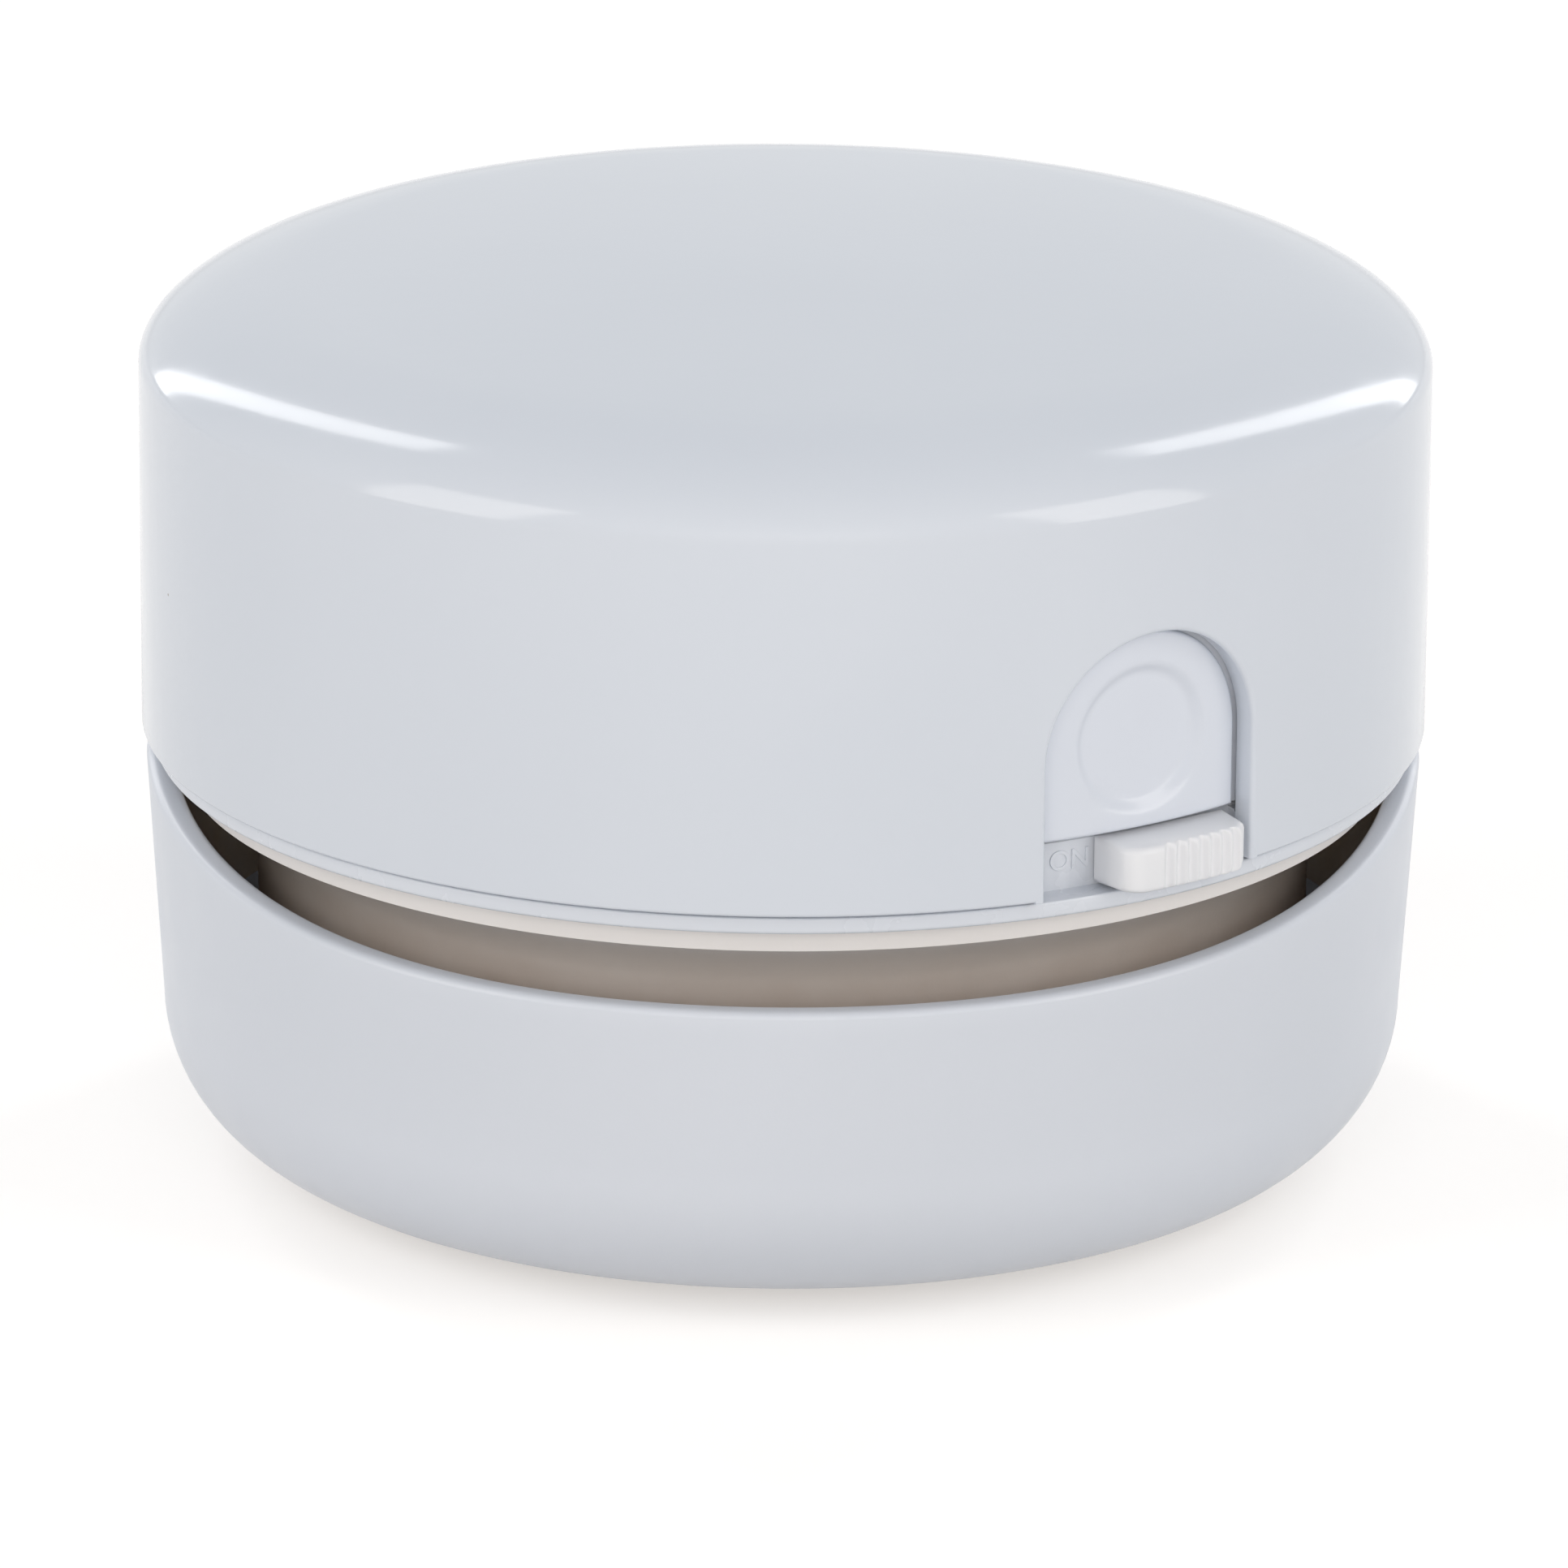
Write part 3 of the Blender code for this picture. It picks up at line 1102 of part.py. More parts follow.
def make_button(material, spring_steel, upper):
    depth = BUTTON_BACK_RADIUS - OVERRUN * 2.0
    face = extrude(
        arch_outline(BUTTON_HALF_WIDTH, BUTTON_BOTTOM_Z, BUTTON_TOP_Z), -BODY_RADIUS, -depth, "Y"
    )
    lip_outline = arch_outline(BUTTON_HALF_WIDTH + BUTTON_LIP, BUTTON_BOTTOM_Z, BUTTON_TOP_Z + BUTTON_LIP)
    lip = add_tool("button_lip", extrude(lip_outline, -BODY_RADIUS, -depth, "Y"), upper)
    low = (0.0, 0.0, BUTTON_BOTTOM_Z - OVERRUN)
    high = (0.0, 0.0, BUTTON_TOP_Z + BUTTON_LIP + OVERRUN)
    combine(lip, "INTERSECT", add_tool("lip_curve", rod(low, high, SPIGOT_RADIUS, BODY_STEPS), upper))

    button = add_object("push_button", face, material, upper)
    combine(button, "INTERSECT", add_tool("face_curve", rod(low, high, BUTTON_RADIUS, BODY_STEPS), upper))
    combine(button, "UNION", lip)
    combine(button, "DIFFERENCE", add_tool("button_back", rod(low, high, BUTTON_BACK_RADIUS, BODY_STEPS), upper))
    stem_end = -BUTTON_BACK_RADIUS + STEM_LENGTH
    stem = rod((0.0, -BUTTON_BACK_RADIUS - SINK, STEM_Z), (0.0, stem_end, STEM_Z), STEM_RADIUS)
    combine(button, "UNION", add_tool("button_stem", stem, upper))
    combine(button, "DIFFERENCE", add_tool("button_dish", make_dish(), upper))
    set_origin(button, (0.0, stem_end, STEM_Z))

    wire = BUTTON_WIRE_RADIUS
    points = helix(
        (0.0, -BUTTON_BACK_RADIUS + SEAT_GAP + wire, STEM_Z),
        (0.0, -SPRING_SEAT - SEAT_GAP - wire, STEM_Z),
        BUTTON_SPRING_RADIUS,
        BUTTON_SPRING_RADIUS,
        BUTTON_SPRING_TURNS,
        COIL_STEPS,
    )
    gap = coil_self_gap(points, COIL_STEPS, wire)
    print(f"button_spring: least gap between turns {gap / MM:.2f} mm")
    tube("button_spring", points, wire, spring_steel, upper)


def make_dish():
    """The shallow round hollow of a fingertip, turned to face the front."""
    ball = (DISH_RADIUS ** 2 + DISH_DEPTH ** 2) / (DISH_DEPTH * 2.0)
    half_angle = math.asin(DISH_RADIUS / ball)
    bowl = arc_points((0.0, ball), (ball, ball), -TURN / 4.0, -TURN / 4.0 + half_angle, CORNER_STEPS)
    outline = [*bowl, (DISH_RADIUS, DISH_DEPTH + OVERRUN), (0.0, DISH_DEPTH + OVERRUN)]
    mesh_data = revolve(outline, DISH_STEPS)
    mesh_data.transform(Matrix.Rotation(TURN / 4.0, 4, "X"))
    mesh_data.transform(Matrix.Translation((0.0, -BUTTON_RADIUS + DISH_DEPTH, DISH_Z)))
    return mesh_data


def switch_half_length():
    return SWITCH_TRAVEL / 2.0 + LEVER_WIDTH / 2.0 + SEAT_GAP + SWITCH_MARGIN


def knob_outline():
    """The thumb piece from above: a ribbed front with round corners, and a back that clears the panel
    all the way along its travel."""
    left = KNOB_CENTRE_X - KNOB_WIDTH / 2.0
    points = []
    steps = KNOB_RIBS * 5
    for step in range(steps + 1):
        share = step / steps
        x = left + KNOB_WIDTH * share
        edge = min(share, 1.0 - share) * KNOB_WIDTH
        inset = max(KNOB_CORNER - edge, 0.0)
        drop = KNOB_CORNER - math.sqrt(KNOB_CORNER ** 2 - inset ** 2)
        if share > KNOB_PLAIN_SHARE:
            wave = (share - KNOB_PLAIN_SHARE) / (1.0 - KNOB_PLAIN_SHARE)
            drop += KNOB_RIB_DEPTH * (1.0 - math.cos(TURN * KNOB_RIBS * wave)) / 2.0
        radius = KNOB_RADIUS - drop
        points.append((x, -math.sqrt(radius ** 2 - x ** 2)))
    for step in range(CORNER_STEPS + 1):
        x = left + KNOB_WIDTH * (1.0 - step / CORNER_STEPS)
        nearest = max(-x, x - SWITCH_TRAVEL, 0.0)
        points.append((x, -math.sqrt(PANEL_RADIUS ** 2 - nearest ** 2) - SEAT_GAP))
    return points


def make_switch(knob_material, black, brass, upper):
    knob = add_object("switch_knob", extrude(knob_outline(), KNOB_BOTTOM_Z, KNOB_TOP_Z), knob_material, upper)
    lever_half = LEVER_WIDTH / 2.0
    half_height = LEVER_HEIGHT / 2.0
    lever_front = -PANEL_RADIUS - SEAT_GAP - LEVER_REACH
    socket = block(
        (KNOB_CENTRE_X - lever_half - SEAT_GAP, lever_front - SEAT_GAP, LEVER_Z - half_height - SEAT_GAP),
        (KNOB_CENTRE_X + lever_half + SEAT_GAP, -PANEL_RADIUS + OVERRUN, LEVER_Z + half_height + SEAT_GAP),
    )
    combine(knob, "DIFFERENCE", add_tool("knob_socket", socket, upper))
    set_origin(knob, (KNOB_CENTRE_X, -PANEL_RADIUS, LEVER_Z))

    slot_back = -SWITCH_FRONT + SWITCH_SLOT_DEPTH
    lever = add_object("switch_lever", block(
        (KNOB_CENTRE_X - lever_half, lever_front, LEVER_Z - half_height),
        (KNOB_CENTRE_X + lever_half, slot_back - SEAT_GAP, LEVER_Z + half_height),
    ), black, upper)
    set_origin(lever, (KNOB_CENTRE_X, -PANEL_RADIUS, LEVER_Z))

    bottom = DECK_TOP_Z + SEAT_GAP
    half = switch_half_length()
    body = add_object("switch_body", block(
        (SWITCH_CENTRE_X - half, -SWITCH_FRONT, bottom),
        (SWITCH_CENTRE_X + half, -SWITCH_FRONT + SWITCH_DEPTH, bottom + SWITCH_HEIGHT),
    ), brass, upper)
    slot_half = SWITCH_TRAVEL / 2.0 + lever_half + SEAT_GAP
    slot = block(
        (SWITCH_CENTRE_X - slot_half, -SWITCH_FRONT - OVERRUN, LEVER_Z - half_height - SEAT_GAP),
        (SWITCH_CENTRE_X + slot_half, slot_back, LEVER_Z + half_height + SEAT_GAP),
    )
    combine(body, "DIFFERENCE", add_tool("switch_slot", slot, upper))
    back = -SWITCH_FRONT + SWITCH_DEPTH
    for index in range(3):
        x = SWITCH_CENTRE_X + SWITCH_PIN_PITCH * (index - 1)
        z = bottom + SWITCH_HEIGHT / 2.0
        pin = rod((x, back - SINK, z), (x, back + SWITCH_PIN_LENGTH, z), SWITCH_PIN_RADIUS, SCREW_SIDES)
        combine(body, "UNION", add_tool(f"switch_pin_{index + 1}", pin, upper))


def wire_routes():
    """Each inside wire's ends follow what it joins; the points between are laid by hand."""
    plate_x = post_face() - SEAT_GAP - CONTACT_THICKNESS / 2.0
    tab_z = POST_TOP_Z + CONTACT_TAB_HEIGHT + SEAT_GAP
    terminal_z = MOTOR_CAP_Z + MOTOR_CAP_HEIGHT + SEAT_GAP * 2.0 + TERMINAL_HEIGHT
    pin_y = -SWITCH_FRONT + SWITCH_DEPTH + SWITCH_PIN_LENGTH + SEAT_GAP
    pin_z = DECK_TOP_Z + SEAT_GAP + SWITCH_HEIGHT / 2.0
    above = Vector((0.0, 0.0, WIRE_RUN_IN))
    behind = Vector((0.0, WIRE_RUN_IN, 0.0))
    right_terminal = Vector((TERMINAL_SPREAD, 0.0, terminal_z))
    left_terminal = Vector((-TERMINAL_SPREAD, 0.0, terminal_z))
    negative_tab = Vector((plate_x, BATTERY_OFFSET, tab_z))
    positive_tab = Vector((plate_x, -BATTERY_OFFSET, tab_z))
    first_pin = Vector((SWITCH_CENTRE_X - SWITCH_PIN_PITCH, pin_y, pin_z))
    last_pin = Vector((SWITCH_CENTRE_X + SWITCH_PIN_PITCH, pin_y, pin_z))
    return {
        "wire_motor_to_negative": [
            right_terminal, right_terminal + above, *MOTOR_TO_NEGATIVE_ROUTE, negative_tab + above, negative_tab
        ],
        "wire_motor_to_switch": [
            left_terminal, left_terminal + above, *MOTOR_TO_SWITCH_ROUTE, first_pin + behind, first_pin
        ],
        "wire_positive_to_switch": [
            positive_tab, positive_tab + above, *POSITIVE_TO_SWITCH_ROUTE, last_pin + behind, last_pin
        ],
    }


def make_wires(red, black, upper):
    colours = {"wire_motor_to_negative": black, "wire_motor_to_switch": red, "wire_positive_to_switch": red}
    for name, points in wire_routes().items():
        route = smooth_route([Vector(point) for point in points], WIRE_STEPS)
        tube(name, route, WIRE_RADIUS, colours[name], upper)


def main():
    clear_scene()
    upper = bpy.data.objects.new("upper_body_frame", None)
    bpy.context.scene.collection.objects.link(upper)
    upper.rotation_euler.z = CONTROL_AZIMUTH

    white = make_material("white_abs", (0.80, 0.82, 0.84), 0.3)
    inner_white = make_material("inner_white_abs", (0.72, 0.72, 0.71), 0.5)
    knob_white = make_material("knob_white", (0.82, 0.81, 0.79), 0.4)
    grey = make_material("grey_nylon", (0.30, 0.30, 0.31), 0.6)
    bristle = make_material("nylon_bristle", (0.70, 0.71, 0.73), 0.6)
    rubber = make_material("grey_rubber", (0.22, 0.22, 0.23), 0.8)
    felt = make_material("filter_cloth", (0.86, 0.86, 0.83), 0.9)
    steel = make_material("plated_steel", (0.62, 0.62, 0.63), 0.3, 1.0)
    brass = make_material("brass", (0.72, 0.55, 0.28), 0.35, 1.0)
    cell = make_material("battery_sleeve", (0.10, 0.12, 0.15), 0.3)
    black = make_material("black_plastic", (0.03, 0.03, 0.03), 0.4)
    red = make_material("red_wire", (0.50, 0.03, 0.03), 0.4)

    make_dust_cup(white)
    make_cup_inserts(white)
    make_brush(white, bristle)
    make_filter(grey, felt, rubber, upper)
    make_shroud(inner_white, upper)
    make_shroud_screws(steel, upper)
    make_impeller(white, steel, upper)
    make_motor(steel, inner_white, brass, upper)
    make_battery("battery_front", 1.0, -BATTERY_OFFSET, cell, upper)
    make_battery("battery_back", -1.0, BATTERY_OFFSET, cell, upper)
    make_contacts(steel, upper)
    make_chassis(white, upper)
    make_cap(white, upper)
    make_button(white, steel, upper)
    make_switch(knob_white, black, steel, upper)
    make_wires(red, black, upper)


main()
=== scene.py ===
"""Dresses the desktop mini vacuum cleaner: fine surfaces, mouldings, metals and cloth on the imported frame.

All sizes are millimetres times MM, in the same frame as the solids. The pieces of the upper body are
drawn facing -Y and turned by CONTROL_TURN, because the controls sit to the right of the front.
"""

import math

import bmesh
import bpy
from mathutils import Matrix, Vector


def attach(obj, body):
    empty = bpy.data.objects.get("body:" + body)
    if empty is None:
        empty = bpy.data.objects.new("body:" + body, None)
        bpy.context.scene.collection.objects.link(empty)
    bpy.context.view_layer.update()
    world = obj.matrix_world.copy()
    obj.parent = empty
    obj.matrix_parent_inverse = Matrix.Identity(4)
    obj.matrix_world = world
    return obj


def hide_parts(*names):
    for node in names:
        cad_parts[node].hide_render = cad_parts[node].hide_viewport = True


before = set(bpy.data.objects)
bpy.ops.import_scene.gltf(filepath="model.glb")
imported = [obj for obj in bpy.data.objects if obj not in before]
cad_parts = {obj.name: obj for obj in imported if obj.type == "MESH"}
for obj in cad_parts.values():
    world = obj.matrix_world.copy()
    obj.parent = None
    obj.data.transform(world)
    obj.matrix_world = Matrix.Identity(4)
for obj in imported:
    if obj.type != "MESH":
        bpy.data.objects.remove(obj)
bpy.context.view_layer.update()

MM = 0.001
TURN = math.tau
CONTROL_TURN = Matrix.Rotation(math.radians(34.0), 4, "Z")

# Facets round a full turn: what the camera sees closely, and what sits inside
FINE_STEPS = 224
INNER_STEPS = 96

# Outside of the body
BODY_RADIUS = 42.0 * MM
CROWN_Z = 60.0 * MM
SEAM_Z = 29.3 * MM
CUP_TOP_RADIUS = 41.7 * MM
CUP_FOOT_RADIUS = 40.7 * MM
UNDERSIDE_Z = 1.2 * MM
CUP_WALL = 1.8 * MM
CUP_FILLET = 9.7 * MM
RIM_ROUND = 0.6 * MM
RIM_HIGH_Z = 27.6 * MM
RIM_LOW_Z = 22.85 * MM
RIM_CLIMB = 5.9 * MM
RIM_CLIMB_POWER = 1.75
CAP_WALL = 1.7 * MM
DOME_RISE = 2.0 * MM
SHOULDER_WIDTH = 10.5 * MM
SHOULDER_DROP = 4.4 * MM
GAP = 0.3 * MM

# Controls
WINDOW_HALF_WIDTH = 7.9 * MM
WINDOW_TOP_Z = 45.85 * MM
WINDOW_ROUND = 0.35 * MM
BUTTON_RADIUS = 40.4 * MM
BUTTON_BACK_RADIUS = 38.9 * MM
BUTTON_BOTTOM_Z = 32.6 * MM
BUTTON_ROUND = 0.3 * MM
DISH_Z = 38.5 * MM
DISH_RADIUS = 5.1 * MM
DISH_RIM = 1.1 * MM
DISH_DEPTH = 0.55 * MM
KNOB_LEFT = -2.9 * MM
KNOB_RIGHT = 6.9 * MM
KNOB_TRAVEL = 4.0 * MM
KNOB_BOTTOM_Z = 29.3 * MM
KNOB_TOP_Z = 32.3 * MM
KNOB_RADIUS = 43.4 * MM
KNOB_ROUND = 0.45 * MM
PANEL_RADIUS = 39.2 * MM

# Supports on the deck, sunk a little into it
SUPPORT_FOOT_Z = 29.4 * MM
BATTERY_OFFSET = 18.6 * MM
BATTERY_Z = 38.65 * MM
BED_RADIUS = 7.55 * MM
BED_HALF_LENGTH = 26.95 * MM
CRADLE_X = 13.0 * MM
CRADLE_HALF_THICKNESS = 0.8 * MM
CRADLE_HALF_WIDTH = 6.26 * MM
CRADLE_TOP_Z = 35.0 * MM
POST_X = 28.65 * MM
POST_HALF_THICKNESS = 0.7 * MM
POST_HALF_WIDTH = 4.6 * MM
POST_TOP_Z = 42.5 * MM
BOSS_PITCH = 33.4 * MM
BOSS_RADIUS = 2.2 * MM
BOSS_TOP_Z = 32.4 * MM
GUIDE_HALF_WIDTH = 7.1 * MM
GUIDE_FRONT = -34.7 * MM
GUIDE_BACK = -32.7 * MM
GUIDE_TOP_Z = 42.98 * MM
DOORWAY_HALF_WIDTH = 5.1 * MM
DOORWAY_TOP_Z = 34.0 * MM
STEM_HOLE_Z = 39.075 * MM
STEM_HOLE_RADIUS = 2.6 * MM
WELL_RADIUS = 11.6 * MM
WELL_HALF_FLAT = 9.2 * MM
WELL_BOTTOM_Z = 25.0 * MM
WELL_TOP_Z = 28.6 * MM

# The tan film of dust and painted shade lies only above this height, inside the exhaust gap
DUST_AND_SHADE_FLOOR_Z = 12.5 * MM
# Most of a noise lies between these values
NOISE_LOW = 0.3
NOISE_HIGH = 0.7


def linear(hex_colour):
    """An sRGB hex colour as linear RGBA."""
    values = [int(hex_colour[at:at + 2], 16) / 255.0 for at in (0, 2, 4)]
    return (*[v / 12.92 if v <= 0.04045 else ((v + 0.055) / 1.055) ** 2.4 for v in values], 1.0)


def add(tree, kind, links=None, **settings):
    """Adds a node, sets its properties, and fills or links its inputs."""
    node = tree.nodes.new(kind)
    for name, value in settings.items():
        setattr(node, name, value)
    for socket, value in (links or {}).items():
        target = node.inputs[socket]
        if isinstance(value, bpy.types.NodeSocket):
            tree.links.new(value, target)
        else:
            target.default_value = value
    return node


# Materials


def start_material(name, roughness, metallic=0.0, ior=1.5):
    material = bpy.data.materials.new(name)
    material.use_nodes = True
    tree = material.node_tree
    shader = tree.nodes["Principled BSDF"]
    shader.inputs["Roughness"].default_value = roughness
    shader.inputs["Metallic"].default_value = metallic
    if not metallic:
        shader.inputs["IOR"].default_value = ior
    place = add(tree, "ShaderNodeTexCoord").outputs["Object"]
    return material, tree, shader, place


def per_mm(size):
    """The scale of a pattern whose cells measure this many millimetres."""
    return 1.0 / (size * MM)


def mix_colours(tree, factor, first, second):
    return add(tree, "ShaderNodeMix", {"Factor": factor, 6: first, 7: second}, data_type="RGBA").outputs[2]


def moulded_plastic(name, light, dark, smooth, rough, grain, grain_depth, speck=0.0, dust_and_shade_film=None):
    """Injection-moulded plastic: slow flow shading, a fine mould grain and stray dust specks.

    The last argument is (colour, z where it is full, z where it is thinnest, greatest radius, share left there): a
    tan film of dust and painted shade deep in the exhaust gap, darker towards the gap's bottom.
    """
    material, tree, shader, place = start_material(name, (smooth + rough) / 2.0, ior=1.53)
    flow = add(tree, "ShaderNodeTexNoise", {"Vector": place, "Scale": per_mm(26.0), "Detail": 2.0})
    colour = mix_colours(tree, flow.outputs["Fac"], linear(light), linear(dark))
    # Painted shade and dust: a warm tan mixed in more strongly lower in the exhaust gap, where little light
    # reaches
    if dust_and_shade_film:
        dust_and_shade_colour, full_z, thinnest_z, greatest_radius, share_left = dust_and_shade_film
        height = add(tree, "ShaderNodeSeparateXYZ", {0: place}).outputs["Z"]
        cover = add(tree, "ShaderNodeMapRange", {
            "Value": height, "From Min": full_z * MM, "From Max": thinnest_z * MM,
            "To Min": 1.0, "To Max": share_left,
        }, interpolation_type="SMOOTHSTEP").outputs["Result"]
        patches = add(tree, "ShaderNodeTexNoise", {"Vector": place, "Scale": per_mm(5.0), "Detail": 3.0})
        uneven = add(tree, "ShaderNodeMapRange", {
            "Value": patches.outputs["Fac"], "From Min": NOISE_LOW, "From Max": NOISE_HIGH,
            "To Min": 0.7, "To Max": 1.0,
        }).outputs["Result"]
        cover = add(tree, "ShaderNodeMath", {0: cover, 1: uneven}, operation="MULTIPLY").outputs[0]
        level = add(tree, "ShaderNodeVectorMath", {0: place, 1: (1.0, 1.0, 0.0)}, operation="MULTIPLY")
        reach = add(tree, "ShaderNodeVectorMath", {0: level.outputs[0]}, operation="LENGTH").outputs["Value"]
        inside = add(tree, "ShaderNodeMath", {0: reach, 1: greatest_radius * MM}, operation="LESS_THAN").outputs[0]
        high = add(tree, "ShaderNodeMath", {0: height, 1: DUST_AND_SHADE_FLOOR_Z}, operation="GREATER_THAN").outputs[0]
        inside = add(tree, "ShaderNodeMath", {0: inside, 1: high}, operation="MULTIPLY").outputs[0]
        cover = add(tree, "ShaderNodeMath", {0: cover, 1: inside}, operation="MULTIPLY").outputs[0]
        colour = mix_colours(tree, cover, colour, linear(dust_and_shade_colour))
    if speck:
        cells = add(tree, "ShaderNodeTexVoronoi", {"Vector": place, "Scale": per_mm(6.5)})
        near = add(tree, "ShaderNodeMath", {0: cells.outputs["Distance"], 1: speck}, operation="LESS_THAN")
        keep = add(tree, "ShaderNodeSeparateColor", {0: cells.outputs["Color"]}).outputs[0]
        rare = add(tree, "ShaderNodeMath", {0: keep, 1: 0.9}, operation="GREATER_THAN")
        both = add(tree, "ShaderNodeMath", {0: near.outputs[0], 1: rare.outputs[0]}, operation="MULTIPLY")
        colour = mix_colours(tree, both.outputs[0], colour, linear("8E8378"))
    tree.links.new(colour, shader.inputs["Base Color"])
    wear = add(tree, "ShaderNodeTexNoise", {"Vector": place, "Scale": per_mm(4.0), "Detail": 4.0})
    gloss = add(tree, "ShaderNodeMapRange", {
        "Value": wear.outputs["Fac"], "From Min": NOISE_LOW, "From Max": NOISE_HIGH,
        "To Min": smooth, "To Max": rough,
    })
    tree.links.new(gloss.outputs["Result"], shader.inputs["Roughness"])
    skin = add(tree, "ShaderNodeTexNoise", {"Vector": place, "Scale": per_mm(grain), "Detail": 2.0})
    bump = add(tree, "ShaderNodeBump", {
        "Height": skin.outputs["Fac"], "Distance": grain_depth * MM, "Strength": 1.0,
    })
    tree.links.new(bump.outputs["Normal"], shader.inputs["Normal"])
    return material


def worked_metal(name, light, dark, smooth, rough, stretch, grain):
    """Rolled or drawn metal: a fine grain drawn out along one axis."""
    material, tree, shader, place = start_material(name, (smooth + rough) / 2.0, 1.0)
    drawn = add(tree, "ShaderNodeMapping", {"Vector": place, "Scale": stretch})
    lines = add(tree, "ShaderNodeTexNoise", {
        "Vector": drawn.outputs[0], "Scale": per_mm(grain), "Detail": 3.0,
    })
    colour = mix_colours(tree, lines.outputs["Fac"], linear(light), linear(dark))
    tree.links.new(colour, shader.inputs["Base Color"])
    gloss = add(tree, "ShaderNodeMapRange", {
        "Value": lines.outputs["Fac"], "From Min": NOISE_LOW, "From Max": NOISE_HIGH,
        "To Min": smooth, "To Max": rough,
    })
    tree.links.new(gloss.outputs["Result"], shader.inputs["Roughness"])
    bump = add(tree, "ShaderNodeBump", {
        "Height": lines.outputs["Fac"], "Distance": 0.004 * MM, "Strength": 0.6,
    })
    tree.links.new(bump.outputs["Normal"], shader.inputs["Normal"])
    return material


def nylon_filament(name):
    """Extruded nylon bristle: milky, a little translucent, streaked along its length."""
    material, tree, shader, place = start_material(name, 0.32, ior=1.53)
    drawn = add(tree, "ShaderNodeMapping", {"Vector": place, "Scale": (1.0, 1.0, 0.12)})
    streaks = add(tree, "ShaderNodeTexNoise", {
        "Vector": drawn.outputs[0], "Scale": per_mm(0.5), "Detail": 3.0,
    })
    colour = mix_colours(tree, streaks.outputs["Fac"], linear("E3E5E8"), linear("B4B7BC"))
    tree.links.new(colour, shader.inputs["Base Color"])
    shader.inputs["Transmission Weight"].default_value = 0.15
    return material


def foam_rubber(name):
    """Closed-cell foam strip: matt, with fine pores."""
    material, tree, shader, place = start_material(name, 0.85)
    pores = add(tree, "ShaderNodeTexVoronoi", {"Vector": place, "Scale": per_mm(0.45)})
    colour = mix_colours(tree, pores.outputs["Distance"], linear("55585C"), linear("7C7F83"))
    tree.links.new(colour, shader.inputs["Base Color"])
    bump = add(tree, "ShaderNodeBump", {"Height": pores.outputs["Distance"], "Distance": 0.08 * MM})
    tree.links.new(bump.outputs["Normal"], shader.inputs["Normal"])
    return material


def nonwoven_cloth(name):
    """Pressed nonwoven filter cloth: crossed fibres about 0.3 mm apart, drawn coarse enough to show."""
    material, tree, shader, place = start_material(name, 0.9)
    first = add(tree, "ShaderNodeMapping", {"Vector": place, "Scale": (1.0, 0.12, 1.0)})
    second = add(tree, "ShaderNodeMapping", {
        "Vector": place, "Rotation": (0.0, 0.0, math.radians(63.0)), "Scale": (1.0, 0.12, 1.0),
    })
    one = add(tree, "ShaderNodeTexNoise", {"Vector": first.outputs[0], "Scale": per_mm(0.3), "Detail": 3.0})
    two = add(tree, "ShaderNodeTexNoise", {"Vector": second.outputs[0], "Scale": per_mm(0.3), "Detail": 3.0})
    crossed = add(tree, "ShaderNodeMath", {0: one.outputs["Fac"], 1: two.outputs["Fac"]}, operation="MAXIMUM")
    spread = add(tree, "ShaderNodeMapRange", {"Value": crossed.outputs[0], "From Min": 0.4, "From Max": 0.75})
    colour = mix_colours(tree, spread.outputs["Result"], linear("CFCBC0"), linear("F2F0EA"))
    tree.links.new(colour, shader.inputs["Base Color"])
    shader.inputs["Sheen Weight"].default_value = 0.3
    bump = add(tree, "ShaderNodeBump", {"Height": crossed.outputs[0], "Distance": 0.12 * MM})
    tree.links.new(bump.outputs["Normal"], shader.inputs["Normal"])
    return material


# The cap is polished ABS: it gives the eye crisp studio reflections over a cool white body colour.
GLOSS_ABS = moulded_plastic("polished_white_abs", "DADFE7", "D3D9E2", 0.10, 0.16, 1.6, 0.004, speck=0.018)
# The cup is the same ABS from a finely eroded mould, so its highlights spread into a satin sheen.
# Its inner wall gets the tan film of dust and painted shade, darker low in the gap.
SATIN_ABS = moulded_plastic("satin_white_abs", "DADEE6", "D3D8E0", 0.30, 0.38, 0.28, 0.006, speck=0.016,
                            dust_and_shade_film=("C6B195", 22.0, 28.0, 40.05, 0.45))
# Inside mouldings are unpolished; their white is painted lighter than the cup's to stand in for light in the
# shaded gap, and a tan film of dust and painted shade darkens them towards the bottom of the exhaust gap.
INNER_ABS = moulded_plastic("unpolished_white_abs", "EBE8E6", "E5E1DE", 0.42, 0.52, 0.35, 0.01,
                            dust_and_shade_film=("C2B4AA", 18.0, 27.0, 45.0, 0.0))
# The chassis and the button come from smoother tools: soft, even reflections.
CHASSIS_ABS = moulded_plastic("chassis_white_abs", "DDE1E8", "D6DBE3", 0.22, 0.30, 0.5, 0.006)
BUTTON_ABS = moulded_plastic("button_white_abs", "DEE3EC", "D8DDE7", 0.16, 0.22, 1.2, 0.004)
# The thumb piece is a duller white, painted paler than the cap to stand in for light in the shaded switch recess.
KNOB_ABS = moulded_plastic("matt_white_abs", "EEEFF2", "E7E8EB", 0.34, 0.44, 0.3, 0.006)
# The fan is plain moulded ABS, a little yellowed.
FAN_ABS = moulded_plastic("fan_white_abs", "D9DAD8", "C9C8C4", 0.35, 0.45, 0.4, 0.008)
# Glass-filled nylon looks dry and mottled.
GREY_NYLON = moulded_plastic("glass_filled_grey_nylon", "8B8C8F", "77787B", 0.5, 0.62, 0.35, 0.03)
# Acetal is a dense black with a waxy sheen.
BLACK_ACETAL = moulded_plastic("black_acetal", "1C1C1D", "111112", 0.35, 0.45, 0.4, 0.006)
